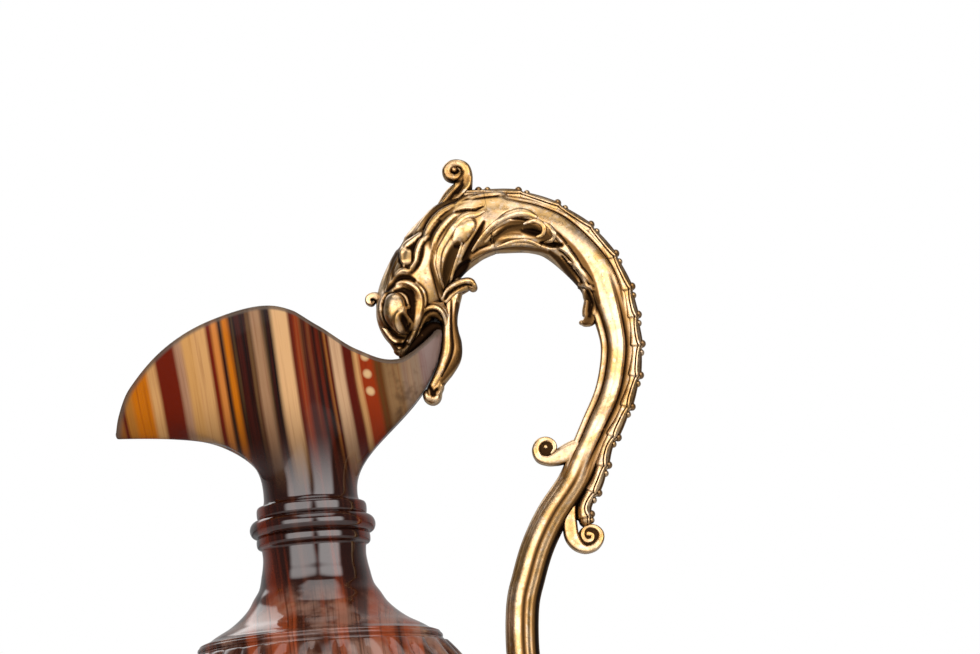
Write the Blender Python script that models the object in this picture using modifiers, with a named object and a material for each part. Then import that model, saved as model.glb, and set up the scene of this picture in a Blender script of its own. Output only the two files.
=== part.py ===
"""Hardstone ewer with a silver-gilt dragon handle.

The stone is in four pieces: the lipped upper body, the lower bowl, the stem knop and the
foot. Gilt mounts join them, and a rod clamps foot, knop and cup. The handle springs from
the girdle, bows outward and bites the tongue at the rear of the lip.

Metres, +Z up. The origin is the centre of the underside of the base plate. The spout
points along -X and the handle lies towards +X, on the plane Y = 0.
"""
import math

import bmesh
import bpy
from mathutils import Matrix, Vector

# Clearance between touching pieces, and the overrun of every cut
gap = 0.0003
overrun = 0.002

# Foot, stem and cup, from the ground up
foot_radius = 0.040
foot_rim_height = 0.0065
foot_rim_ledge = 0.0032
foot_rim_width = 0.0092
foot_wall = 0.0048
dome_height = 0.0188
plate_thickness = 0.0022
rod_radius = 0.0024
stem_radius = 0.0100
collar_height = 0.0040
collar_swell = 0.0018
knop_radius = 0.0140
knop_height = 0.0156
cup_height = 0.0110
cup_radius = 0.0250
cup_wall = 0.0026
bedding = 0.0008

# Belly
belly_radius = 0.0540
belly_depth = 0.0620
belly_rise = 0.0552
girdle_drop = 0.0100
girdle_height = 0.0092
girdle_thickness = 0.0030
girdle_web = 0.0008
land_step = 0.0020
stone_wall = 0.0050
gadroon_count = 32
gadroon_depth = 0.0009

# Shoulder, neck and ring moulding
shoulder_radius = 0.0385
shoulder_ring_radius = 0.0366
shoulder_ring_height = 0.0032
neck_length = 0.0220
neck_radius = 0.0156
ring_radius = 0.0190
ring_height = 0.0144
throat_radius = 0.0142
throat_wall = 0.0038
throat_above_belly = 0.0860

# Lip
lip_front_reach = 0.0582
lip_back_reach = 0.0433
lip_half_width = 0.0240
lip_rise = 0.0543
lip_wall = 0.0028
throat_run = 0.0155

# Handle
head_length = 0.0400
head_radius = 0.0108
bow_reach = 0.0540
bow_rise = 0.0440
bow_radius = 0.0088
rod_bow_radius = 0.0050
handle_width_share = 0.86
route_step = 0.0030
lug_length = 0.0050
lug_half_width = 0.0042
lug_half_height = 0.0030
rivet_radius = 0.0010
strip_radius = 0.0012
strip_width_share = 2.1
bead_radius = 0.0009
bead_lift_share = 0.5
bead_pitch = 0.0092
bead_pair_spacing = 0.0030
curl_radius = 0.00125
curl_width_share = 1.6
crown_radius = 0.0039
brow_radius = 0.0016
throat_curl_radius = 0.0024
jaw_radius = 0.0025
jaw_width_share = 1.4
spur_length = 0.0042
inner_scroll_radius = 0.0044
inner_scroll_arm = 0.0085
outer_scroll_radius = 0.0046
outer_scroll_arm = 0.0182
tail_scroll_radius = 0.0042
leaf_radius = 0.0017
leaf_span = 0.0300

# Fineness of the turned and swept pieces
turn_steps = gadroon_count
curve_sides_count = 3
thin_sides_count = 2

# Colours of the stone, the gilding and the mastic
agate_brown = (0.16, 0.045, 0.02, 1.0)
agate_red = (0.22, 0.06, 0.025, 1.0)
gilt_bright = (0.66, 0.46, 0.20, 1.0)
gilt_dull = (0.42, 0.29, 0.13, 1.0)
mastic_brown = (0.12, 0.08, 0.05, 1.0)
steel_grey = (0.45, 0.44, 0.42, 1.0)

# Heights that follow from the stack
dome_top = dome_height
lower_collar_base = dome_top + gap
lower_collar_top = lower_collar_base + collar_height
knop_base = lower_collar_top + gap
knop_top = knop_base + knop_height
upper_collar_base = knop_top + gap
upper_collar_top = upper_collar_base + collar_height
cup_base = upper_collar_top + gap
bowl_base = cup_base + cup_height - cup_wall
belly_height = bowl_base + belly_depth
girdle_level = belly_height - girdle_drop
throat_height = belly_height + throat_above_belly
girdle_radius = belly_radius + girdle_thickness - land_step / 2
tongue_end = Vector((lip_back_reach, 0, throat_height + lip_rise * 0.87))
bore_radius = rod_radius + gap


# Scene, materials and objects
for old in list(bpy.data.objects):
    bpy.data.objects.remove(old, do_unlink=True)

ewer = bpy.data.collections.new("ewer")
cutters = bpy.data.collections.new("cutters")
bpy.context.scene.collection.children.link(ewer)
bpy.context.scene.collection.children.link(cutters)


def finish(name, colour, roughness, metallic):
    """One Principled material."""
    material = bpy.data.materials.new(name)
    material.use_nodes = True
    shader = material.node_tree.nodes["Principled BSDF"]
    shader.inputs["Base Color"].default_value = colour
    shader.inputs["Roughness"].default_value = roughness
    shader.inputs["Metallic"].default_value = metallic
    return material


def stone(name, colour):
    return finish(name + "_finish", colour, 0.12, 0.0)


def gilt(name, colour=gilt_bright):
    return finish(name + "_finish", colour, 0.35, 1.0)


def add_part(name, mesh, material):
    """Puts a mesh in the scene as a named part, shaded smooth with its sharp edges kept."""
    part = bpy.data.objects.new(name, mesh)
    ewer.objects.link(part)
    mesh.materials.clear()
    mesh.materials.append(material)
    mesh.shade_smooth()
    mesh.set_sharp_from_angle(angle=math.radians(40))
    return part


def add_cutter(name, mesh):
    """Puts a mesh in the scene as a cutter, which is no part of the ewer."""
    cutter = bpy.data.objects.new(name, mesh)
    cutters.objects.link(cutter)
    cutter.hide_render = True
    cutter.display_type = "WIRE"
    return cutter


def cut(part, *tools):
    """Cuts the tools out of a part."""
    for tool in tools:
        difference = part.modifiers.new("cut_" + tool.name, "BOOLEAN")
        difference.operation = "DIFFERENCE"
        difference.solver = "EXACT"
        difference.object = tool


def join(part, tool):
    """Joins a tool to a part as one body."""
    union = part.modifiers.new("join_" + tool.name, "BOOLEAN")
    union.operation = "UNION"
    union.solver = "EXACT"
    union.object = tool


def mesh_from(bm, name):
    bmesh.ops.recalc_face_normals(bm, faces=bm.faces)
    mesh = bpy.data.meshes.new(name)
    bm.to_mesh(mesh)
    bm.free()
    return mesh


# Turned pieces
def turned(name, profile, material):
    """Turns a closed outline of (radius, height) points round the Z axis."""
    mesh = bpy.data.meshes.new(name)
    points = [(radius, 0, height) for radius, height in profile]
    on_axis = profile[0][0] == 0 and profile[-1][0] == 0
    edges = [(i, i + 1) for i in range(len(points) - 1)]
    if not on_axis:
        edges.append((len(points) - 1, 0))
    mesh.from_pydata(points, edges, [])
    part = bpy.data.objects.new(name, mesh)
    ewer.objects.link(part)
    mesh.materials.append(material)
    screw = part.modifiers.new("turn", "SCREW")
    screw.steps = turn_steps
    screw.render_steps = turn_steps
    screw.use_merge_vertices = True
    screw.merge_threshold = gap / 10
    screw.use_smooth_shade = True
    return part


# Swept pieces
def unit_normal(direction):
    """The outer side of the handle, square to a direction in the plane Y = 0."""
    return Vector((-direction.z, 0, direction.x)).normalized()


def curve_points(knots, spacing):
    """Even points along a smooth curve through knots of (point, radius)."""
    points = [Vector((*point, radius)) for point, radius in knots]
    points = [2 * points[0] - points[1], *points, 2 * points[-1] - points[-2]]
    smooth = []
    for before, start, end, after in zip(points, points[1:], points[2:], points[3:]):
        count = max(1, round((end.to_3d() - start.to_3d()).length / spacing))
        for step in range(count):
            t = step / count
            slope_in = (end - before) / 2
            slope_out = (after - start) / 2
            smooth.append(
                (2 * t**3 - 3 * t**2 + 1) * start + (t**3 - 2 * t**2 + t) * slope_in
                + (3 * t**2 - 2 * t**3) * end + (t**3 - t**2) * slope_out)
    smooth.append(points[-2])
    return [(point.to_3d(), point.w) for point in smooth]


def tube_mesh(name, route, growth=0, width_share=1.0, sides_count=thin_sides_count):
    """A closed tube along a route of (point, radius), squeezed in Y by width_share."""
    curve = bpy.data.curves.new(name, "CURVE")
    curve.dimensions = "3D"
    curve.bevel_depth = 1.0
    curve.bevel_resolution = sides_count
    curve.use_fill_caps = True
    curve.twist_mode = "MINIMUM"
    spline = curve.splines.new("POLY")
    spline.points.add(len(route) - 1)
    for knot, (point, radius) in zip(spline.points, route):
        knot.co = (*point, 1.0)
        knot.radius = radius + growth
    guide = bpy.data.objects.new(name + "_curve", curve)
    cutters.objects.link(guide)
    evaluated = guide.evaluated_get(bpy.context.evaluated_depsgraph_get())
    mesh = bpy.data.meshes.new_from_object(evaluated)
    bpy.data.objects.remove(guide, do_unlink=True)
    bm = bmesh.new()
    bm.from_mesh(mesh)
    bmesh.ops.remove_doubles(bm, verts=bm.verts, dist=gap / 100)
    middle = route[0][0].y
    squeeze = Matrix.Translation((0, middle, 0)) @ Matrix.Diagonal((1, width_share, 1, 1))
    bmesh.ops.transform(bm, verts=bm.verts, matrix=squeeze @ Matrix.Translation((0, -middle, 0)))
    bm.to_mesh(mesh)
    bm.free()
    return mesh


def volute(centre, radius, start_angle, turns, thickness, root=(), clockwise=False):
    """A scroll that runs in from its root points and winds to an eye at the centre."""
    steps = round(turns * 16)
    route = list(root)
    for step in range(steps + 1):
        share = step / steps
        angle = math.radians(start_angle) + (-1 if clockwise else 1) * share * turns * math.tau
        reach = radius * (1 - share) + thickness * share * 0.6
        spot = centre + reach * Vector((math.cos(angle), 0, math.sin(angle)))
        route.append((spot, thickness * (1 - share * 0.35)))
    return route


# Stone vessel
def lofted(name, rings, close_loop):
    """Joins rings of points. A ring with twice the points of its neighbour fans out to it."""
    bm = bmesh.new()
    loops = [[bm.verts.new(point) for point in ring] for ring in rings]
    pairs = list(zip(loops, loops[1:]))
    if close_loop:
        pairs.append((loops[-1], loops[0]))
    for first, second in pairs:
        few, many = (first, second) if len(first) <= len(second) else (second, first)
        ratio = len(many) // len(few)
        for i in range(len(few)):
            here, there = few[i], few[(i + 1) % len(few)]
            fan = [many[(i * ratio + k) % len(many)] for k in range(ratio + 1)]
            if ratio == 1:
                bm.faces.new((here, there, fan[1], fan[0]))
            else:
                bm.faces.new((here, fan[1], fan[0]))
                bm.faces.new((here, there, fan[1]))
                bm.faces.new((there, fan[2], fan[1]))
    if not close_loop:
        bm.faces.new(loops[0])
        bm.faces.new(loops[-1])
    return mesh_from(bm, name)


def round_ring(radius, height):
    return [
        Vector((radius * math.cos(turn), radius * math.sin(turn), height))
        for turn in (math.tau * i / gadroon_count for i in range(gadroon_count))]


def gadroon_ring(radius, height, depth):
    """A ring whose points lie in turn in a groove and on the crest of a gadroon."""
    ring = []
    for i in range(2 * gadroon_count):
        turn = math.tau * i / (2 * gadroon_count)
        reach = radius + (depth if i % 2 else -depth)
        ring.append(Vector((reach * math.cos(turn), reach * math.sin(turn), height)))
    return ring


def belly_point(angle, upper, shrink=0):
    """A point of the belly's outline. The angle runs from 0 at the axis to 90 at the girth."""
    height = belly_rise if upper else -belly_depth
    turn = math.radians(angle)
    radius = (belly_radius - shrink) * math.sin(turn)
    level = (height - shrink * math.copysign(1, height)) * math.cos(turn)
    return radius, belly_height + level


def belly_angle(level, upper):
    """The angle of the belly's outline at a height."""
    height = belly_rise if upper else belly_depth
    return math.degrees(math.acos(abs(level - belly_height) / height))


# Lip: from the tongue at the rear (turn 0) to the tip of the spout (turn 1), the shares of
# the reach, half width and rise, the lean of the wall in degrees, and the pull of its curve
lip_shares = (
    (0.0, 1.000, 0.00, 0.870, 88, 0.45),
    (0.0625, 0.970, 0.20, 0.845, 84, 0.45),
    (0.125, 0.720, 0.39, 0.690, 62, 0.40),
    (0.25, 0.420, 0.69, 0.735, 60, 0.35),
    (0.375, 0.150, 0.92, 0.875, 70, 0.35),
    (0.5, -0.120, 1.00, 1.000, 78, 0.35),
    (0.625, -0.430, 0.90, 0.955, 72, 0.40),
    (0.75, -0.690, 0.67, 0.835, 58, 0.45),
    (0.875, -0.900, 0.36, 0.640, 38, 0.55),
    (0.9375, -0.970, 0.18, 0.500, 18, 0.62),
    (1.0, -0.995, 0.00, 0.392, 3, 0.70),
)
lip_rows = 9


def lip_station(turn):
    """Interpolates the lip's table smoothly. It is even about both ends, but for the width."""
    def mirrored(row, about):
        return (2 * about - row[0], row[1], -row[2], *row[3:])

    rows = [mirrored(lip_shares[1], 0), *lip_shares, mirrored(lip_shares[-2], 1)]
    for before, start, end, after in zip(rows, rows[1:], rows[2:], rows[3:]):
        if turn <= end[0]:
            break
    span = end[0] - start[0]
    t = (turn - start[0]) / span
    values = []
    for a, b, c, d in zip(before[1:], start[1:], end[1:], after[1:]):
        slope_in = (c - a) / (end[0] - before[0]) * span
        slope_out = (d - b) / (after[0] - start[0]) * span
        values.append(
            (2 * t**3 - 3 * t**2 + 1) * b + (t**3 - 2 * t**2 + t) * slope_in
            + (3 * t**2 - 2 * t**3) * c + (t**3 - t**2) * slope_out)
    return values


def lip_column(column):
    """The outer wall of the lip over one column, from the throat up to the rim."""
    turn = 2 * column / gadroon_count
    side = 1 if turn <= 1 else -1
    reach, width, rise, lean, pull = lip_station(turn if turn <= 1 else 2 - turn)
    angle = math.pi * turn
    foot = Vector((throat_radius * math.cos(angle), throat_radius * math.sin(angle), throat_height))
    reach *= lip_back_reach if reach > 0 else lip_front_reach
    rim = Vector((reach, side * width * lip_half_width, throat_height + rise * lip_rise))
    outward = Vector((rim.x - foot.x, rim.y - foot.y, 0)).normalized()
    lean = math.radians(lean)
    heading = outward * math.cos(lean) + Vector((0, 0, math.sin(lean)))
    first_pull = foot + Vector((0, 0, throat_run))
    last_pull = rim - heading * pull * (rim - foot).length
    path = []
    for row in range(lip_rows + 1):
        t = row / lip_rows
        path.append((1 - t)**3 * foot + 3 * t * (1 - t)**2 * first_pull
                    + 3 * t**2 * (1 - t) * last_pull + t**3 * rim)
    return path


def lip_rings(inset_at_throat=0, inset_at_rim=0):
    """Rings of the lip from the throat to the rim, set in from the outer wall."""
    columns = [lip_column(column) for column in range(gadroon_count)]
    rings = []
    for row in range(lip_rows + 1):
        inset = inset_at_throat + (inset_at_rim - inset_at_throat) * row / lip_rows
        ring = []
        for i, column in enumerate(columns):
            after = columns[(i + 1) % gadroon_count][row]
            before = columns[i - 1][row]
            along = column[min(row + 1, lip_rows)] - column[max(row - 1, 0)]
            inward = along.cross(after - before).normalized()
            ring.append(column[row] + inward * inset)
        rings.append(ring)
    return rings


# Neck: shares of its swell and of its fall, from the ring moulding down to the shoulder ring
neck_shares = (
    (0.000, 0.00), (0.000, 0.12), (0.033, 0.27), (0.080, 0.42), (0.170, 0.53),
    (0.257, 0.637), (0.390, 0.740), (0.545, 0.830), (0.765, 0.915), (0.840, 0.960))

# Ring moulding: shares of its height from the bottom, and of its swell over the throat
ring_shares = (
    (0.06, 0.60), (0.16, 0.62), (0.24, 0.86), (0.36, 1.00), (0.50, 0.84),
    (0.57, 0.48), (0.74, 0.42), (0.88, 0.04))


def moulding_rings():
    """Outer rings of neck, ring moulding and shoulder, from the shoulder up to the throat."""
    rings = []
    shoulder_level = belly_point(belly_start, True)[1]
    step_top = shoulder_level + shoulder_ring_height
    neck_top = throat_height - ring_height - throat_wall / 2
    fall = neck_top - step_top
    reach = shoulder_ring_radius - neck_radius
    for radius, level in (
            (shoulder_ring_radius + land_step / 4, shoulder_level + shoulder_ring_height / 6),
            (shoulder_ring_radius - land_step / 8, shoulder_level + shoulder_ring_height / 3),
            (shoulder_ring_radius, shoulder_level + shoulder_ring_height * 2 / 3),
            (shoulder_ring_radius - land_step * 0.7, step_top)):
        rings.append(round_ring(radius, level))
    for share, level_share in reversed(neck_shares):
        rings.append(round_ring(neck_radius + share * reach, neck_top - level_share * fall))
    swell = ring_radius - throat_radius
    for level_share, radius_share in ring_shares:
        rings.append(round_ring(
            throat_radius + radius_share * swell,
            throat_height - (1 - level_share) * (throat_height - neck_top)))
    return rings


belly_start = math.degrees(math.asin(shoulder_radius / belly_radius))
gadroon_rows = 6


def build_upper_body():
    """The lipped upper body, one hollow piece that stands on the girdle."""
    seat = girdle_level + girdle_web / 2 + gap
    land_top = girdle_level + girdle_height / 2
    land_radius = belly_radius - land_step
    rings = [round_ring(land_radius, seat), round_ring(land_radius, land_top)]
    top_angle = belly_start
    bottom_angle = 90 + math.degrees(math.asin((belly_height - land_top - land_step / 2) / belly_depth))
    for row in range(gadroon_rows + 1):
        share = row / gadroon_rows
        angle = bottom_angle + (top_angle - bottom_angle) * share
        if angle > 90:
            radius, level = belly_point(180 - angle, False)
        else:
            radius, level = belly_point(angle, True)
        depth = gadroon_depth * (0.35 if row in (0, gadroon_rows) else 1.0)
        rings.append(gadroon_ring(radius - gadroon_depth, level, depth))
    rings += moulding_rings()
    rings += lip_rings()
    inner = lip_rings(throat_wall, lip_wall)
    rings += reversed(inner)
    bore = throat_radius - throat_wall
    neck_top = throat_height - ring_height
    rings.append(round_ring(bore, neck_top))
    rings.append(round_ring(bore * 1.12, neck_top - neck_length / 2))
    inner_start = belly_start - 9
    for row in range(gadroon_rows + 1):
        share = row / gadroon_rows
        angle = inner_start + (90 - inner_start) * share
        rings.append(round_ring(*belly_point(angle, True, stone_wall)))
    rings.append(round_ring(belly_radius - stone_wall - land_step / 4, seat))
    mesh = lofted("upper_body", rings, close_loop=True)
    return add_part("upper_body", mesh, stone("upper_body", agate_brown))


def build_lower_bowl():
    """The lower half of the belly, closed at the bottom."""
    seat = girdle_level - girdle_web / 2 - gap
    land_base = girdle_level - girdle_height / 2
    land_radius = belly_radius - land_step
    top_angle = belly_angle(land_base - land_step / 2, False)
    foot_angle = math.degrees(math.asin(cup_radius / belly_radius))
    inner_rows = 7
    rings = []
    for row in range(inner_rows):
        angle = top_angle * (row + 0.6) / inner_rows
        rings.append(round_ring(*belly_point(angle, False, stone_wall)))
    rings.append(round_ring(land_radius - stone_wall + land_step, seat))
    rings.append(round_ring(land_radius, seat))
    rings.append(round_ring(land_radius, land_base))
    for row in range(gadroon_rows + 1):
        share = row / gadroon_rows
        angle = top_angle + (foot_angle + 4 - top_angle) * share
        radius, level = belly_point(angle, False)
        depth = gadroon_depth * (0.35 if row in (0, gadroon_rows) else 1.0)
        rings.append(gadroon_ring(radius - gadroon_depth, level, depth))
    for angle in (foot_angle, foot_angle * 0.66, foot_angle * 0.33):
        rings.append(round_ring(*belly_point(angle, False)))
    mesh = lofted("lower_bowl", rings, close_loop=False)
    return add_part("lower_bowl", mesh, stone("lower_bowl", agate_red))


# Foot: shares of its run and of its rise, from the stem down. Rim: shares of its height
dome_shares = ((0.03, 0.16), (0.12, 0.42), (0.34, 0.66), (0.62, 0.80), (0.88, 0.88))
soffit_share = 0.42
rim_bulge_share = 0.86
rim_hollow_share = 0.55
rim_step_share = 0.40
knop_end_share = 0.86


def build_stem():
    """Foot dome, collars, knop, cup, rim, plate and rod."""
    dome_edge = foot_radius - foot_rim_width / 3
    edge_top = foot_rim_height + gap
    rise = dome_top - edge_top
    run = dome_edge - stem_radius
    underside = foot_rim_ledge + gap
    soffit = dome_top - rise * soffit_share - foot_wall
    turned("foot_dome", [
        (stem_radius, dome_top),
        *((stem_radius + run * across, dome_top - rise * drop) for across, drop in dome_shares),
        (dome_edge, edge_top),
        (dome_edge - gap * 2, underside),
        (dome_edge - foot_wall, underside),
        (dome_edge - foot_wall * 1.6, underside + rise * 0.12),
        (stem_radius + run * 0.30, dome_top - rise * 0.66 - foot_wall),
        (stem_radius * 0.92, soffit),
        (bore_radius, soffit),
        (bore_radius, dome_top),
    ], stone("foot_dome", agate_red))

    turned("foot_rim", [
        (dome_edge + gap * 3, foot_rim_height),
        (foot_radius - gap * 3, foot_rim_height),
        (foot_radius - gap, foot_rim_height * rim_bulge_share),
        (foot_radius - gap * 3, foot_rim_height * rim_hollow_share),
        (foot_radius, foot_rim_height * rim_step_share),
        (foot_radius, 0),
        (foot_radius - foot_rim_width, 0),
        (foot_radius - foot_rim_width, foot_rim_ledge),
        (dome_edge + gap, foot_rim_ledge),
    ], gilt("foot_rim"))

    boss_radius = stem_radius * 0.72
    boss_top = soffit - gap
    plate_radius = foot_radius - foot_rim_width - gap
    turned("base_plate", [
        (0, plate_thickness * 0.8),
        (bore_radius, plate_thickness * 0.8),
        (bore_radius, boss_top),
        (boss_radius, boss_top),
        (boss_radius, plate_thickness),
        (plate_radius, plate_thickness),
        (plate_radius, 0),
        (0, 0),
    ], gilt("base_plate", gilt_dull))

    for name, base in (("lower_collar", lower_collar_base), ("upper_collar", upper_collar_base)):
        top = base + collar_height
        turned(name, [
            (bore_radius, top),
            (stem_radius, top),
            (stem_radius + collar_swell * 0.7, top - collar_height * 0.2),
            (stem_radius + collar_swell, base + collar_height / 2),
            (stem_radius + collar_swell * 0.7, base + collar_height * 0.2),
            (stem_radius, base),
            (bore_radius, base),
        ], gilt(name))

    profile = [(bore_radius, knop_top)]
    knop_rows = 10
    knop_end = stem_radius * knop_end_share
    for row in range(knop_rows + 1):
        share = row / knop_rows
        bulge = math.sin(math.pi * share) ** 1.5
        radius = knop_end + (knop_radius - knop_end) * bulge
        profile.append((radius, knop_top - knop_height * share))
    profile.append((bore_radius, knop_base))
    turned("stem_knop", profile, stone("stem_knop", agate_brown))

    seat_angle = math.degrees(math.asin(cup_radius / belly_radius))
    seat_rows = 4
    outer_gap = 2 * gap + bedding
    seat_shares = [1 - row / seat_rows for row in range(seat_rows)]
    seat_line = [belly_point(seat_angle * share, False, -outer_gap) for share in seat_shares]
    rim_radius, rim_level = seat_line[0]
    seat_line.append((bore_radius, belly_height - belly_depth - outer_gap))
    well_floor = cup_base + cup_height * 0.12
    turned("body_cup", [
        (rim_radius + gap, rim_level + gap),
        (rim_radius + cup_wall * 0.8, rim_level),
        (rim_radius + cup_wall * 0.8, rim_level - cup_wall * 0.6),
        (rim_radius * 0.80, rim_level - cup_height * 0.34),
        (rim_radius * 0.55, cup_base + cup_height * 0.30),
        (stem_radius, cup_base + cup_height * 0.10),
        (stem_radius, cup_base),
        (bore_radius, cup_base),
        *reversed(seat_line),
    ], gilt("body_cup"))

    upper = [belly_point(seat_angle * share, False, -gap) for share in seat_shares]
    under = [belly_point(seat_angle * share, False, -gap - bedding) for share in seat_shares]
    low = belly_height - belly_depth - gap
    turned("cup_bedding", [
        (0, low), *reversed(upper), *under, (0, low - bedding),
    ], finish("cup_bedding_finish", mastic_brown, 0.8, 0.0))

    rod_base = plate_thickness * 0.8 + gap
    rod_top = low - bedding - gap
    rod_shape = bmesh.new()
    bmesh.ops.create_cone(
        rod_shape, cap_ends=True, segments=16, radius1=rod_radius, radius2=rod_radius,
        depth=rod_top - rod_base, matrix=Matrix.Translation((0, 0, (rod_top + rod_base) / 2)))
    add_part("tie_rod", mesh_from(rod_shape, "tie_rod"),
             finish("tie_rod_finish", steel_grey, 0.4, 1.0))


def build_girdle():
    """The band over the joint of the belly, with a web between the two stones."""
    land = belly_radius - land_step + gap
    top = girdle_level + girdle_height / 2 - gap
    base = girdle_level - girdle_height / 2 + gap
    web_top = girdle_level + girdle_web / 2
    web_base = girdle_level - girdle_web / 2
    web_radius = land - stone_wall / 2
    bead = girdle_height * 0.2
    turned("girdle", [
        (land, top),
        (girdle_radius - gap, top),
        (girdle_radius, top - bead / 2),
        (girdle_radius - gap * 3, top - bead),
        (girdle_radius - gap * 3, base + bead),
        (girdle_radius, base + bead / 2),
        (girdle_radius - gap, base),
        (land, base),
        (land, web_base),
        (web_radius, web_base),
        (web_radius, web_top),
        (land, web_top),
    ], gilt("girdle"))

    inside = web_radius - gap
    depth = stone_wall / 3
    turned("girdle_bedding", [
        (inside, web_top), (inside, web_base), (inside - depth, web_base), (inside - depth, web_top),
    ], finish("girdle_bedding_finish", mastic_brown, 0.8, 0.0))


# Route of the handle. Its places are shares, measured from the tongue's end: in the head,
# of head_length; in the bow, of bow_reach and bow_rise; below, of bow_reach from a line
# that runs from the lug to the tongue's end, and of the drop to the girdle
head_shares = (
    (0.42, 0.805, 0.96), (0.22, 0.75, 1.00), (0.035, 0.63, 1.00), (-0.115, 0.455, 0.97),
    (-0.235, 0.25, 0.91), (-0.275, 0.085, 0.78), (-0.295, -0.045, 0.55), (-0.32, -0.145, 0.22))
bow_shares = (
    (0.40, 0.715, 1.00), (0.57, 0.672, 0.92), (0.705, 0.585, 0.865), (0.86, 0.375, 0.81),
    (0.932, 0.198, 0.75))
fall_shares = (
    (0.975, 0.027, 0.65), (0.962, 0.085, 0.62), (0.893, 0.163, 0.62), (0.780, 0.233, 0.60),
    (0.680, 0.292, 0.57))
rod_shares = (
    (0.588, 0.349, 0.98), (0.444, 0.413, 1.0), (0.334, 0.476, 1.0), (0.254, 0.540, 1.0),
    (0.194, 0.600, 1.0), (0.154, 0.691, 1.0), (0.150, 0.770, 1.0), (0.160, 0.850, 1.0),
    (0.182, 0.915, 0.98))


def handle_place(reach_share, drop_share):
    """A place on the lower part of the handle."""
    drop = tongue_end.z - girdle_level
    line = tongue_end.x + (girdle_radius - tongue_end.x) * drop_share
    return Vector((line + reach_share * bow_reach, 0, tongue_end.z - drop_share * drop))


head_knots = [
    (tongue_end + head_length * Vector((across, 0, up)), share * head_radius)
    for across, up, share in head_shares]
bow_knots = [
    (tongue_end + Vector((across * bow_reach, 0, up * bow_rise)), share * bow_radius)
    for across, up, share in bow_shares]
fall_knots = [
    (handle_place(across, drop), share * bow_radius) for across, drop, share in fall_shares]
rod_knots = [
    (handle_place(across, drop), share * rod_bow_radius) for across, drop, share in rod_shares]
lug_seat = girdle_radius + lug_length + rod_bow_radius
lug_top = girdle_level + lug_half_height * 0.8
rod_knots.append((Vector((lug_seat, 0, lug_top - overrun)), rod_bow_radius * 0.9))
handle_route = curve_points(head_knots[::-1] + bow_knots + fall_knots + rod_knots, route_step)


def nearest(place):
    """The index of the route's point that lies nearest to a place."""
    return min(range(len(handle_route)), key=lambda i: (handle_route[i][0] - place).length)


def heading(index):
    """The direction of the route at one of its points, from the muzzle to the tail."""
    before = handle_route[max(index - 1, 0)][0]
    after = handle_route[min(index + 1, len(handle_route) - 1)][0]
    return (after - before).normalized()


def stretch(first, last):
    """The route between two of its points, with square ends that lie half a gap short."""
    route = handle_route[first + 2:last - 1]
    if first > 0:
        point, radius = handle_route[first]
        ahead = heading(first)
        route = [(point + ahead * gap / 2, radius), (point + ahead * overrun, radius), *route]
    point, radius = handle_route[last]
    ahead = heading(last)
    return [*route, (point - ahead * overrun, radius), (point - ahead * gap / 2, radius)]


head_end = nearest(head_knots[0][0])
bow_end = nearest(fall_knots[-1][0])
head_route = [*handle_route[:2], *stretch(0, head_end)]
bow_route = stretch(head_end, bow_end)
tail_route = stretch(bow_end, len(handle_route) - 1)


def from_tongue(across, up):
    """A place near the head, in shares of its length from the tongue's end."""
    return tongue_end + head_length * Vector((across, 0, up))


def on_back(index, lift):
    """A place over the outer side of the handle. A negative lift lies under its inner side."""
    point, radius = handle_route[index]
    outward = unit_normal(heading(index))
    return point + outward * (math.copysign(radius, lift) + lift)


def on_flank(place, lift, side):
    """The place over the flank of the handle that lies beside a place of its middle plane."""
    index = nearest(place)
    point, radius = handle_route[index]
    rise = (place - point).dot(unit_normal(heading(index)))
    inside = max(radius**2 - rise**2, 0)
    return place + Vector((0, side * (handle_width_share * math.sqrt(inside) + lift), 0))


def cheeks(name, growth=0):
    """The two cheek bosses of the head."""
    bm = bmesh.new()
    for side in (-1, 1):
        place = from_tongue(*cheek_place_shares) + Vector((0, side * cheek_offset_share * head_radius, 0))
        spread = [head_radius * share + growth for share in cheek_radius_shares]
        bmesh.ops.create_icosphere(
            bm, subdivisions=3, radius=1,
            matrix=Matrix.Translation(place) @ Matrix.Diagonal((*spread, 1)))
    return mesh_from(bm, name)


# Clearance forms, which trim what is seated on them
def build_clearances():
    width = handle_width_share
    stone_form = lofted("lip_clearance", [
        *lip_rings(-gap, -gap),
        [point + Vector((0, 0, gap)) for point in lip_rings(-gap, -gap)[-1]],
        [point + Vector((0, 0, gap)) for point in lip_rings(0, lip_wall + gap)[-1]],
        *reversed(lip_rings(throat_wall + gap, lip_wall + gap))], close_loop=True)
    return {
        "head": add_cutter(
            "head_clearance",
            tube_mesh("head_clearance", head_route, gap, width, curve_sides_count)),
        "cheeks": add_cutter("cheek_clearance", cheeks("cheek_clearance", gap)),
        "bow": add_cutter(
            "bow_clearance",
            tube_mesh("bow_clearance", bow_route, gap, width, curve_sides_count)),
        "tail": add_cutter("tail_clearance", tube_mesh("tail_clearance", tail_route, gap)),
        "jaw": add_cutter(
            "jaw_clearance", tube_mesh("jaw_clearance", jaw_route, gap, jaw_width_share)),
        "lip": add_cutter("lip_clearance", stone_form)}


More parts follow.
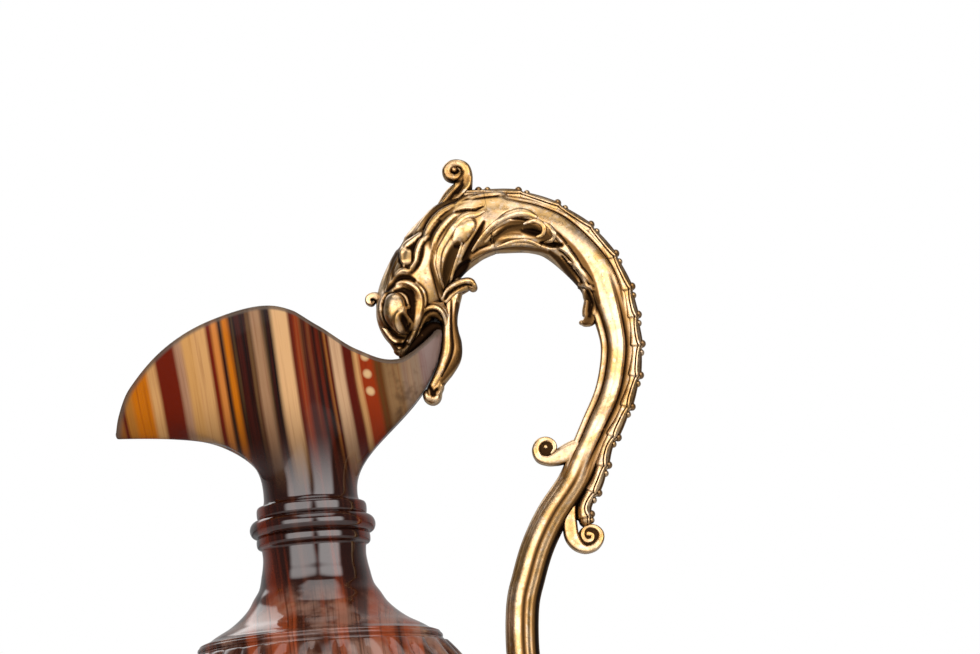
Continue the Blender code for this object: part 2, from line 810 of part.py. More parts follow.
# Lower jaw and throat curl, in shares of head_length from the tongue's end and of jaw_radius
jaw_shares = (
    (-0.110, -0.545, 0.40), (-0.062, -0.468, 0.76), (-0.004, -0.385, 0.98),
    (0.046, -0.290, 1.06), (0.082, -0.180, 1.08), (0.092, -0.068, 1.02),
    (0.085, 0.045, 0.84), (0.092, 0.170, 0.94), (0.112, 0.295, 1.14), (0.148, 0.395, 1.20))
throat_curl_shares = (
    (0.120, 0.310, 0.86), (0.185, 0.362, 0.68), (0.252, 0.362, 0.52), (0.276, 0.315, 0.32))
mouth_shares = (
    (-0.300, -0.260), (-0.245, -0.135), (-0.178, -0.045), (-0.143, 0.030), (-0.070, 0.070),
    (0.005, 0.050), (0.068, -0.030), (0.068, -0.260))
crown_place_shares = (0.195, 1.212)
crown_root_shares = ((0.245, 1.010, 2.9), (0.292, 1.115, 1.9))
brow_place_shares = (-0.515, 0.262)
brow_root_shares = ((-0.415, 0.225, 1.4),)
cheek_place_shares = (-0.300, 0.165)
cheek_offset_share = 0.46
cheek_radius_shares = (0.58, 0.48, 0.72)
jaw_route = curve_points(
    [(from_tongue(across, up), share * jaw_radius) for across, up, share in jaw_shares], route_step / 2)


def build_head(clearance):
    """Skull and upper jaw, the lower jaw, and the three free curls."""
    head = add_part(
        "dragon_head",
        tube_mesh("dragon_head", head_route, 0, handle_width_share, curve_sides_count),
        gilt("dragon_head"))
    outline = bpy.data.curves.new("mouth_outline", "CURVE")
    outline.dimensions = "2D"
    outline.fill_mode = "BOTH"
    outline.extrude = head_radius + overrun
    spline = outline.splines.new("POLY")
    spline.points.add(len(mouth_shares) - 1)
    spline.use_cyclic_u = True
    for knot, (across, up) in zip(spline.points, mouth_shares):
        place = from_tongue(across, up)
        knot.co = (place.x, place.z, 0, 1)
    guide = bpy.data.objects.new("mouth_outline", outline)
    cutters.objects.link(guide)
    mouth = bpy.data.meshes.new_from_object(
        guide.evaluated_get(bpy.context.evaluated_depsgraph_get()))
    bpy.data.objects.remove(guide, do_unlink=True)
    upright = Matrix.Rotation(math.radians(90), 4, "X")
    bm = bmesh.new()
    bm.from_mesh(mouth)
    bmesh.ops.remove_doubles(bm, verts=bm.verts, dist=gap / 100)
    bmesh.ops.transform(bm, verts=bm.verts, matrix=upright)
    join(head, add_cutter("cheek_bosses", cheeks("cheek_bosses")))
    cut(head, add_cutter("mouth_space", mesh_from(bm, "mouth_space")), clearance["lip"])

    jaw = add_part(
        "lower_jaw", tube_mesh("lower_jaw", jaw_route, 0, jaw_width_share), gilt("lower_jaw"))
    cut(jaw, clearance["head"], clearance["cheeks"], clearance["lip"])

    crown_root = [
        (from_tongue(across, up), share * curl_radius) for across, up, share in crown_root_shares]
    crown = volute(
        from_tongue(*crown_place_shares), crown_radius, -15, 1.1, curl_radius, crown_root)
    curl = add_part(
        "crown_curl", tube_mesh("crown_curl", crown, 0, curl_width_share), gilt("crown_curl"))
    cut(curl, clearance["head"], clearance["bow"])
    clearance["crown"] = add_cutter(
        "crown_clearance", tube_mesh("crown_clearance", crown, gap, curl_width_share))

    brow_root = [
        (from_tongue(across, up), share * curl_radius) for across, up, share in brow_root_shares]
    brow = volute(
        from_tongue(*brow_place_shares), brow_radius, -20, 0.62, curl_radius * 0.85, brow_root)
    curl = add_part("brow_curl", tube_mesh("brow_curl", brow), gilt("brow_curl"))
    cut(curl, clearance["head"], clearance["cheeks"])

    throat = curve_points(
        [(from_tongue(across, up), share * throat_curl_radius)
         for across, up, share in throat_curl_shares], route_step / 2)
    curl = add_part("throat_curl", tube_mesh("throat_curl", throat), gilt("throat_curl"))
    cut(curl, clearance["head"], clearance["jaw"])


# Leaves on the flanks, in shares of leaf_span from the tongue's end and of leaf_radius
leaf_shares = (
    (0.230, 0.640, 0.50), (0.370, 0.850, 0.90), (0.540, 1.010, 1.10), (0.720, 1.100, 1.00),
    (0.880, 1.120, 0.80), (1.000, 1.080, 0.50))
fore_leaf_shares = (
    (0.060, 0.560, 0.60), (0.070, 0.720, 1.10), (0.110, 0.880, 1.20), (0.190, 1.010, 0.95),
    (0.300, 1.040, 0.55))


def build_bow(clearance):
    """The bow, its crest, beads, leaves, spur and free scrolls, and the tail rod."""
    add_part(
        "handle_arch",
        tube_mesh("handle_arch", bow_route, 0, handle_width_share, curve_sides_count),
        gilt("handle_arch"))
    add_part("tail_rod", tube_mesh("tail_rod", tail_route), gilt("tail_rod"))

    outer_top = handle_route[bow_end][0]
    outer_centre = outer_top + Vector(
        (-outer_scroll_radius * 0.1, 0, -outer_scroll_arm - outer_scroll_radius * 1.5))
    outer_root = [
        (outer_top + Vector((curl_radius, 0, -outer_scroll_arm * 0.10)), curl_radius * 1.8),
        (outer_centre + Vector((-outer_scroll_radius * 0.75, 0, outer_scroll_arm * 0.70)),
         curl_radius * 1.6),
        (outer_centre + Vector((-outer_scroll_radius * 1.35, 0, outer_scroll_arm * 0.38)),
         curl_radius * 1.4)]

    crest = [on_back(index, gap + strip_radius) for index in range(head_end, bow_end + 1)]
    for (point, radius), (after, _) in zip(outer_root[1:], outer_root[2:] + [(outer_centre, 0)]):
        crest.append(point + unit_normal(after - point) * (radius + gap * 2 + strip_radius))
    crest = [point for point, _ in curve_points([(point, strip_radius) for point in crest], route_step)]
    strip = add_part(
        "spine_crest",
        tube_mesh("spine_crest", [(point, strip_radius) for point in crest], 0, strip_width_share),
        gilt("spine_crest"))

    beads = bmesh.new()
    travelled = -bead_pitch / 3
    for before, after in zip(crest[1:], crest[2:-1]):
        ahead = (after - before).normalized()
        travelled += (after - before).length
        if travelled < bead_pitch:
            continue
        travelled -= bead_pitch
        for offset in (-bead_pair_spacing / 2, bead_pair_spacing / 2):
            place = (before + unit_normal(ahead) * (strip_radius + bead_radius * bead_lift_share)
                     + ahead * (bead_pair_spacing / 2 + offset))
            bmesh.ops.create_icosphere(
                beads, subdivisions=1, radius=bead_radius, matrix=Matrix.Translation(place))
    join(strip, add_cutter("crest_beads", mesh_from(beads, "crest_beads")))
    cut(strip, clearance["bow"], clearance["tail"], clearance["head"], clearance["crown"])

    for name, shares, side in (
            ("leaf_near", leaf_shares, -1), ("leaf_far", leaf_shares, 1),
            ("fore_leaf_near", fore_leaf_shares, -1), ("fore_leaf_far", fore_leaf_shares, 1)):
        knots = []
        for across, up, thick in shares:
            place = tongue_end + leaf_span * Vector((across, 0, up))
            knots.append((on_flank(place, gap, side), leaf_radius * thick))
        leaf = add_part(name, tube_mesh(name, curve_points(knots, route_step)), gilt(name))
        cut(leaf, clearance["head"], clearance["bow"])

    spur_seat = nearest(handle_place(0.96, 0.01))
    spur_tip = on_back(spur_seat, -spur_length)
    spur_root = on_back(spur_seat, -gap) + unit_normal(heading(spur_seat)) * overrun
    spur = [(spur_root, spur_length * 0.7), (spur_root.lerp(spur_tip, 0.4), spur_length * 0.45),
            (spur_tip, spur_length * 0.16)]
    point = add_part("arch_spur", tube_mesh("arch_spur", spur), gilt("arch_spur"))
    cut(point, clearance["bow"])

    inner_seat = nearest(handle_place(0.72, 0.262))
    inner_centre = on_back(inner_seat, -gap) - Vector(
        (inner_scroll_arm, 0, inner_scroll_radius * 1.25))
    inner_root = [
        (on_back(inner_seat, -gap) + Vector((overrun, 0, 0)), curl_radius * 2.6),
        (inner_centre + Vector((inner_scroll_radius * 1.1, 0, inner_scroll_radius)), curl_radius * 1.6)]
    inner = volute(inner_centre, inner_scroll_radius, 85, 1.1, curl_radius * 1.1, inner_root)
    scroll = add_part(
        "inner_scroll", tube_mesh("inner_scroll", inner, 0, curl_width_share), gilt("inner_scroll"))
    cut(scroll, clearance["bow"], clearance["tail"])

    outer = volute(outer_centre, outer_scroll_radius, 190, 1.1, curl_radius * 1.2, outer_root)
    scroll = add_part(
        "outer_scroll", tube_mesh("outer_scroll", outer, 0, curl_width_share), gilt("outer_scroll"))
    cut(scroll, clearance["bow"], clearance["tail"])
    cut(strip, add_cutter(
        "scroll_clearance", tube_mesh("scroll_clearance", outer, gap, curl_width_share)))


def build_tail():
    """The lug on the girdle that carries the tail rod, its rivets and its scroll."""
    flange_face = girdle_radius + gap
    flange_thickness = lug_half_height / 2
    arm_end = lug_seat + rod_bow_radius * 0.9

    def box(name, low, high):
        size = Vector(high) - Vector(low)
        middle = (Vector(high) + Vector(low)) / 2
        bm = bmesh.new()
        bmesh.ops.create_cube(
            bm, size=1, matrix=Matrix.Translation(middle) @ Matrix.Diagonal((*size, 1)))
        return mesh_from(bm, name)

    lug = add_part("tail_lug", box(
        "tail_lug",
        (flange_face, -2 * lug_half_width, girdle_level - lug_half_height),
        (flange_face + flange_thickness, 2 * lug_half_width, girdle_level + lug_half_height)),
        gilt("tail_lug"))
    join(lug, add_cutter("lug_arm", box(
        "lug_arm",
        (flange_face + flange_thickness / 2, -lug_half_width, girdle_level - lug_half_height * 0.8),
        (arm_end, lug_half_width, lug_top))))
    cut(bpy.data.objects["tail_rod"], add_cutter("lug_clearance", box(
        "lug_clearance",
        (flange_face, -2 * lug_half_width, lug_top - lug_half_height - overrun),
        (arm_end + rod_bow_radius, 2 * lug_half_width, lug_top + gap))))

    facing = Matrix.Rotation(math.radians(90), 4, "Y")
    for name, side in (("tail_rivet_near", -1), ("tail_rivet_far", 1)):
        rivet = bmesh.new()
        place = Vector((flange_face + flange_thickness + gap + rivet_radius / 2,
                        side * 1.5 * lug_half_width, girdle_level))
        bmesh.ops.create_cone(
            rivet, cap_ends=True, segments=12, radius1=rivet_radius, radius2=rivet_radius * 0.7,
            depth=rivet_radius, matrix=Matrix.Translation(place) @ facing)
        add_part(name, mesh_from(rivet, name), gilt(name))

    top = girdle_level - lug_half_height * 0.8 - gap
    centre = Vector((arm_end - tail_scroll_radius - curl_radius * 1.5, 0,
                     top - tail_scroll_radius * 1.3))
    right = centre.x + tail_scroll_radius
    root = [(Vector((right, 0, top)), curl_radius * 1.5),
            (Vector((right, 0, top - gap * 2)), curl_radius * 1.5)]
    scroll = volute(centre, tail_scroll_radius, 0, 1.1, curl_radius * 1.3, root, clockwise=True)
    add_part("tail_volute", tube_mesh("tail_volute", scroll), gilt("tail_volute"))


build_upper_body()
build_lower_bowl()
build_stem()
build_girdle()
trims = build_clearances()
build_head(trims)
build_bow(trims)
build_tail()
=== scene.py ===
"""Looks of a hardstone ewer with a silver-gilt dragon handle.

The stone is banded agate, polished all over. The mounts and the handle are silver, cast and
chased, with worn gilding that has gone dark in its recesses; that dark is partly tarnish and partly
painted shade. Metres, +Z up, the spout towards -X and the handle towards +X.
"""

import math

import bmesh
import bpy
import numpy as np
from mathutils import Matrix, Vector


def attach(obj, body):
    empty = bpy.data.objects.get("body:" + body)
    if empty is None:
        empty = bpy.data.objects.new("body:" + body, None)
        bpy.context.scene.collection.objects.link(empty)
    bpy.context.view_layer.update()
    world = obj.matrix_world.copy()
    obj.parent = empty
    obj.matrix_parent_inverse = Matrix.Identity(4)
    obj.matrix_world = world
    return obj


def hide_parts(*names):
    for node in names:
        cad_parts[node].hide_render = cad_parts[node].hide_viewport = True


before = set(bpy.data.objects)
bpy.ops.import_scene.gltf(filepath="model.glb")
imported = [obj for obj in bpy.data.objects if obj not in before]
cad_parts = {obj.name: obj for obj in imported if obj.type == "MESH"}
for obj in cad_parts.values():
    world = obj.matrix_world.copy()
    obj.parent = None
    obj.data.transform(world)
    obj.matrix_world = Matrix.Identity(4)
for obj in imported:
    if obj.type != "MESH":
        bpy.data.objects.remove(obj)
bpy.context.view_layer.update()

# Sizes of the foot, stem and cup
gap = 0.0003
foot_radius = 0.040
foot_rim_height = 0.0065
foot_rim_ledge = 0.0032
foot_rim_width = 0.0092
foot_wall = 0.0048
dome_height = 0.0188
rod_radius = 0.0024
stem_radius = 0.0100
collar_height = 0.0040
collar_swell = 0.0018
knop_radius = 0.0140
knop_height = 0.0156
cup_height = 0.0110
cup_radius = 0.0250
cup_wall = 0.0026
bedding = 0.0008

# Sizes of the belly, the shoulder and the neck
belly_radius = 0.0540
belly_depth = 0.0620
belly_rise = 0.0552
girdle_drop = 0.0100
girdle_height = 0.0092
girdle_thickness = 0.0030
girdle_web = 0.0008
land_step = 0.0020
stone_wall = 0.0050
gadroon_count = 32
gadroon_depth = 0.0009
shoulder_radius = 0.0385
shoulder_ring_radius = 0.0366
shoulder_ring_height = 0.0032
neck_length = 0.0220
neck_radius = 0.0156
ring_radius = 0.0190
ring_height = 0.0144
throat_radius = 0.0142
throat_wall = 0.0038
throat_above_belly = 0.0860

# Sizes of the lip and the handle
lip_front_reach = 0.0582
lip_back_reach = 0.0433
lip_half_width = 0.0240
lip_rise = 0.0543
lip_wall = 0.0028
throat_run = 0.0155
head_length = 0.0400
head_radius = 0.0108
bow_reach = 0.0540
bow_rise = 0.0440
bow_radius = 0.0088
rod_bow_radius = 0.0050
handle_width_share = 0.86
lug_length = 0.0050
lug_half_height = 0.0030
curl_radius = 0.00125

# Fineness
columns_per_gadroon = 8
fine_step = 0.00024
weld_distance = 1e-7
least_length = 1e-12
sharp_angle = math.radians(65)

# Heights that follow from the stack
dome_top = dome_height
lower_collar_base = dome_top + gap
knop_base = lower_collar_base + collar_height + gap
knop_top = knop_base + knop_height
upper_collar_base = knop_top + gap
cup_base = upper_collar_base + collar_height + gap
bowl_base = cup_base + cup_height - cup_wall
belly_height = bowl_base + belly_depth
girdle_level = belly_height - girdle_drop
throat_height = belly_height + throat_above_belly
girdle_radius = belly_radius + girdle_thickness - land_step / 2
tongue_end = Vector((lip_back_reach, 0, throat_height + lip_rise * 0.87))
columns = gadroon_count * columns_per_gadroon

# Camera: where it stands, what it looks at, its roll and its lens
camera_place = Vector((0.058, -1.0, 0.067))
camera_target = Vector((0.058, 0, 0.247))
camera_roll = math.radians(4.4)
lens = 122.4
sensor_width = 36.0
view_columns = 980
view_rows = 654

forward = (camera_target - camera_place).normalized()
level_right = forward.cross(Vector((0, 0, 1))).normalized()
level_up = level_right.cross(forward)
view_right = math.cos(camera_roll) * level_right - math.sin(camera_roll) * level_up
view_up = math.sin(camera_roll) * level_right + math.cos(camera_roll) * level_up
view_scale = lens / sensor_width * view_columns


def to_view(points):
    """Columns and rows at which the camera sees an array of points."""
    offset = points - np.array(camera_place)
    scale = view_scale / (offset @ np.array(forward))
    column = view_columns / 2 + scale * (offset @ np.array(view_right))
    row = view_rows / 2 - scale * (offset @ np.array(view_up))
    return column, row


def seen_at(column, row, flank=0.0):
    """The place that the camera sees at a column and row, on the plane where Y is the flank's."""
    ray = (forward + (column - view_columns / 2) / view_scale * view_right
           + (view_rows / 2 - row) / view_scale * view_up)
    return camera_place + ray * ((flank - camera_place.y) / ray.y)


# Lines and angles
def circle(count):
    """Even angles once round."""
    return 2 * np.pi * np.arange(count) / count


def unit(vectors):
    """Vectors of the same headings, each of length 1."""
    return vectors / np.linalg.norm(vectors, axis=-1, keepdims=True)


def rising(values, start, run):
    """0 up to the start, then an even rise to 1 over the run."""
    return np.clip((values - start) / run, 0, 1)


def humps(lift, *rows):
    """A sum of round humps over angles. Each is a (middle, width, height) row."""
    return sum(height * np.exp(-((lift - at) / width) ** 2) for at, width, height in rows)


def bend(t, start, end, slope_in, slope_out):
    """A smooth step between two rows of numbers, with their slopes."""
    return ((2 * t**3 - 3 * t**2 + 1) * start + (t**3 - 2 * t**2 + t) * slope_in
            + (3 * t**2 - 2 * t**3) * end + (t**3 - t**2) * slope_out)


def smooth_line(knots, spacing):
    """Even rows of numbers along a smooth curve through knots. The first three are a place."""
    knots = np.array(knots, dtype=float)
    knots = np.vstack([2 * knots[0] - knots[1], knots, 2 * knots[-1] - knots[-2]])
    rows = []
    for before, start, end, after in zip(knots, knots[1:], knots[2:], knots[3:]):
        count = max(1, round(np.linalg.norm(end[:3] - start[:3]) / spacing))
        rows += [bend(step / count, start, end, (end - before) / 2, (after - start) / 2)
                 for step in range(count)]
    rows.append(knots[-2])
    return np.array(rows)


def smooth_profile(knots, spacing):
    """A dense outline through (radius, height) knots."""
    flat = [(radius, 0, height) for radius, height in knots]
    return smooth_line(flat, spacing)[:, [0, 2]]


# Meshes
def add_object(name, data):
    """An object of the scene that shows a mesh, a lamp or a camera."""
    made = bpy.data.objects.new(name, data)
    bpy.context.scene.collection.objects.link(made)
    return made


def grid_faces(rows, width, wrap_rows=False):
    """Corners of the faces between rows of points. Each row is a loop."""
    index = np.arange(rows * width).reshape(rows, width)
    below = index if wrap_rows else index[:-1]
    above = np.roll(index, -1, axis=0) if wrap_rows else index[1:]
    corners = [below, np.roll(below, -1, 1), np.roll(above, -1, 1), above]
    return np.stack(corners, axis=-1).reshape(-1, 4).tolist()


def grid_piece(name, grid, material, wrap_rows=False):
    """A piece over rows of points, its faces turned outward. Ends are closed unless rows wrap."""
    rows, width = grid.shape[:2]
    faces = grid_faces(rows, width, wrap_rows)
    if not wrap_rows:
        faces.append(list(range(width)))
        faces.append(list(range((rows - 1) * width, rows * width)))
    mesh = bpy.data.meshes.new(name)
    mesh.from_pydata(grid.reshape(-1, 3).tolist(), [], faces)
    bm = bmesh.new()
    bm.from_mesh(mesh)
    bmesh.ops.remove_doubles(bm, verts=bm.verts, dist=weld_distance)
    bmesh.ops.recalc_face_normals(bm, faces=bm.faces)
    bm.to_mesh(mesh)
    bm.free()
    mesh.materials.append(material)
    mesh.shade_smooth()
    mesh.set_sharp_from_angle(angle=sharp_angle)
    return add_object(name, mesh)


def merged(name, pieces, material):
    """One piece from several meshes."""
    bm = bmesh.new()
    for piece in pieces:
        bm.from_mesh(piece.data)
        old = piece.data
        bpy.data.objects.remove(piece)
        bpy.data.meshes.remove(old)
    mesh = bpy.data.meshes.new(name)
    bm.to_mesh(mesh)
    bm.free()
    mesh.shade_smooth()
    mesh.materials.append(material)
    return add_object(name, mesh)


def dress(piece, slot, *replaced):
    """Makes a piece ride with the ewer and stand for its nodes."""
    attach(piece, "root")
    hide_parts(*replaced)
    return piece


def set_values(mesh, name, values):
    """Stores a number for each point of a mesh, for its material."""
    attribute = mesh.attributes.new(name, "FLOAT", "POINT")
    values = np.broadcast_to(np.ravel(values), len(mesh.vertices))
    attribute.data.foreach_set("value", values.astype(np.float32))


# Materials
def linear(red, green, blue):
    """A colour from its screen values, 0 to 255."""
    def convert(value):
        """One channel of it."""
        share = value / 255
        return share / 12.92 if share <= 0.04045 else ((share + 0.055) / 1.055) ** 2.4
    return (convert(red), convert(green), convert(blue), 1.0)


class Recipe:
    """The nodes of a material, a lamp or the world. Most methods add one and give its result."""

    def __init__(self, owner):
        owner.use_nodes = True
        self.owner = owner
        self.tree = owner.node_tree

    def put(self, value, socket):
        """Feeds a socket from another, or sets it to a plain value."""
        if isinstance(value, bpy.types.NodeSocket):
            self.tree.links.new(value, socket)
        else:
            socket.default_value = value

    def node(self, kind, inputs=(), **settings):
        """A new node with its settings and what its inputs take."""
        made = self.tree.nodes.new(kind)
        for name, value in settings.items():
            setattr(made, name, value)
        for name, value in dict(inputs).items():
            self.put(value, made.inputs[name])
        return made

    def place(self, scale=(1, 1, 1)):
        """Object coordinates, stretched."""
        coordinates = self.node("ShaderNodeTexCoord").outputs["Object"]
        return self.node("ShaderNodeMapping", {"Scale": scale, "Vector": coordinates}).outputs["Vector"]

    def part(self, vector, axis):
        return self.node("ShaderNodeSeparateXYZ", {0: vector}).outputs[axis]

    def attribute(self, name):
        return self.node("ShaderNodeAttribute", attribute_name=name).outputs["Fac"]

    def noise(self, vector, scale, detail=3.0, roughness=0.55, distortion=0.0):
        return self.node("ShaderNodeTexNoise", {
            "Vector": vector, "Scale": scale, "Detail": detail, "Roughness": roughness,
            "Distortion": distortion}).outputs["Fac"]

    def math(self, operation, first, second=0.0, clamp=False):
        return self.node("ShaderNodeMath", {0: first, 1: second}, operation=operation,
                         use_clamp=clamp).outputs[0]

    def plus(self, first, second, clamp=False):
        return self.math("ADD", first, second, clamp)

    def minus(self, first, second):
        return self.math("SUBTRACT", first, second)

    def times(self, first, second, clamp=False):
        return self.math("MULTIPLY", first, second, clamp)

    def over(self, first, second):
        return self.math("DIVIDE", first, second)

    def most(self, first, second):
        return self.math("MAXIMUM", first, second)

    def between(self, value, low, high):
        """0 below low, 1 above high, smooth between them."""
        return self.node(
            "ShaderNodeMapRange", {"Value": value, "From Min": low, "From Max": high},
            interpolation_type="SMOOTHSTEP").outputs["Result"]

    def mix(self, share, first, second):
        return self.node("ShaderNodeMix", {0: share, 6: first, 7: second}, data_type="RGBA").outputs[2]

    def tinted(self, colour, tone, amount, value, low, high):
        """A colour with some of a tone where a value is on the high side."""
        return self.mix(self.times(self.between(value, low, high), amount), colour, tone)

    def ramp(self, value, stops):
        made = self.node("ShaderNodeValToRGB", {"Fac": value})
        elements = made.color_ramp.elements
        while len(elements) < len(stops):
            elements.new(0.5)
        for element, (place, colour) in zip(elements, stops):
            element.position = place
            element.color = colour
        return made.outputs["Color"]

    def bump(self, height, strength, distance, *below):
        inputs = {"Height": height, "Strength": strength, "Distance": distance}
        inputs.update({"Normal": normal for normal in below})
        return self.node("ShaderNodeBump", inputs).outputs["Normal"]

    def finished(self, settings):
        """The material, once its shader has its values and links."""
        shader = self.tree.nodes["Principled BSDF"]
        for name, value in settings.items():
            self.put(value, shader.inputs[name])
        return self.owner


lip_tone = (0.70, 0.65, 0.54)


def lip_colour(red, green, blue):
    """A colour of the thin lip, where the stone lets part of the light through."""
    return (*(value * tone for value, tone in zip(linear(red, green, blue), lip_tone)), 1.0)


amber = lip_colour(196, 112, 10)
amber_edge = lip_colour(170, 112, 44)
beige = lip_colour(210, 164, 112)
tan = lip_colour(206, 158, 100)
grey_tan = lip_colour(176, 138, 116)
pale_beige = lip_colour(214, 174, 132)
dark_red = lip_colour(106, 26, 3)
deep_red = lip_colour(86, 18, 4)
bright_red = lip_colour(134, 48, 14)
orange_red = lip_colour(150, 52, 14)
eye_cream = lip_colour(232, 204, 160)
red_brown = lip_colour(92, 28, 8)
orange_tan = lip_colour(204, 130, 64)
near_black = lip_colour(20, 4, 1)
faint_brown = lip_colour(78, 52, 32)
grey_beige = lip_colour(158, 124, 98)
dark_brown = lip_colour(62, 16, 7)
gold_brown = lip_colour(142, 88, 40)
cloudy_beige = lip_colour(204, 170, 140)
olive_brown = lip_colour(96, 60, 24)
olive_tan = lip_colour(140, 110, 78)
grey_brown = lip_colour(138, 118, 104)
dark_grey = lip_colour(132, 114, 116)
tongue_brown = lip_colour(66, 44, 32)
lower_lip_brown = linear(34, 14, 8)
neck_brown = linear(32, 10, 5)
rim_grey = linear(80, 68, 58)
shoulder_brown = linear(56, 27, 16)
shoulder_red = linear(124, 56, 28)
shoulder_grey = linear(140, 106, 90)

# Bands of the agate: the columns of the picture between which each lies, at one row
band_row = 400
lip_column = 300
agate_bands = (
    (112, 117, gold_brown), (117, 120, red_brown), (120, 130, amber_edge), (130, 149, amber),
    (149, 159, beige), (159, 181, dark_red), (181, 189, grey_tan), (189, 200, tan), (200, 216, beige),
    (216, 221, dark_red), (221, 229, orange_tan), (229, 233, near_black), (233, 240, amber),
    (240, 249, near_black), (249, 252, dark_brown), (252, 258, near_black), (258, 262, faint_brown),
    (262, 273, grey_beige), (273, 283, near_black), (283, 300, pale_beige), (300, 304, red_brown),
    (304, 310, bright_red), (310, 317, dark_brown), (317, 321, red_brown), (321, 325, near_black),
    (325, 328, red_brown), (328, 333, near_black), (333, 335, gold_brown), (335, 337, dark_brown),
    (337, 349, cloudy_beige), (349, 360, deep_red), (360, 364, beige), (364, 379, orange_red),
    (379, 388, olive_brown), (388, 406, olive_tan), (406, 426, grey_brown), (426, 450, dark_grey))
bands_per_ramp = 15
band_flank = -0.016
band_lean = 0.088
tongue_columns = (386, 398)
eye_columns = (367, 376)
eye_rows = (362, 378)
eye_last_row = 413
band_edge = 0.0007

# Grain of the stone, in cycles for each metre, and how much of each colour shows
wander_scale = 30.0
wander_stretch = (0.6, 0.6, 0.35)
wander_reach = lip_wall * 1.3
sheet_flatness = 0.025
streak_scale = 900.0
streak_share = 0.42
vein_scale = 420.0
vein_share = 0.10
eye_share = 0.80
smudge_scale = 130.0
smudge_share = 0.75
cloud_scale = 60.0
cloud_share = 0.60
low_vein_scale = 150.0
lower_lip_share = 0.62
rim_share = 0.85

# Polish of the stone, fainter on the lip and brighter on the neck
stone_roughness = 0.07
stone_index = 1.54
belly_shine = 0.40
neck_shine = 0.26
lip_loss = 0.59
polish_scale = 70.0
polish_wave = 0.002


def band_place(column):
    """How far along the ewer a column of the bands' row lies."""
    return seen_at(column, band_row, band_flank).x


def banding(recipe, along):
    """Colours of the bands over a distance along the ewer, from a chain of colour ramps."""
    places = [(band_place(first), band_place(last), colour) for first, last, colour in agate_bands]
    colour = None
    for start in range(0, len(places), bands_per_ramp):
        chunk = places[start:start + bands_per_ramp]
        low, high = chunk[0][0], chunk[-1][1]
        stops = []
        for first, last, tone in chunk:
            edge = min(band_edge, (last - first) * 0.3)
            stops.append(((first + edge - low) / (high - low), tone))
            stops.append(((last - edge - low) / (high - low), tone))
        ramp = recipe.ramp(recipe.over(recipe.minus(along, low), high - low), stops)
        colour = ramp if colour is None else recipe.mix(
            recipe.between(along, low - band_edge, low + band_edge), colour, ramp)
    return colour


def eyes(recipe, along, height):
    """Round pale eyes one above another in a red band near the tongue."""
    middle = band_place(sum(eye_columns) / 2)
    reach = band_place(eye_columns[1]) - middle
    top, next_top, last = (seen_at(lip_column, row).z for row in (*eye_rows, eye_last_row))
    pitch = top - next_top
    beside = recipe.over(recipe.minus(along, middle), reach)
    above = recipe.math("FRACT", recipe.over(recipe.minus(top, height), pitch))
    above = recipe.times(recipe.minus(above, 0.5), pitch / reach)
    spread = recipe.plus(recipe.times(beside, beside), recipe.times(above, above))
    kept = recipe.between(height, last, last + reach * 0.5)
    return recipe.times(recipe.between(spread, 1.5, 0.1), kept)


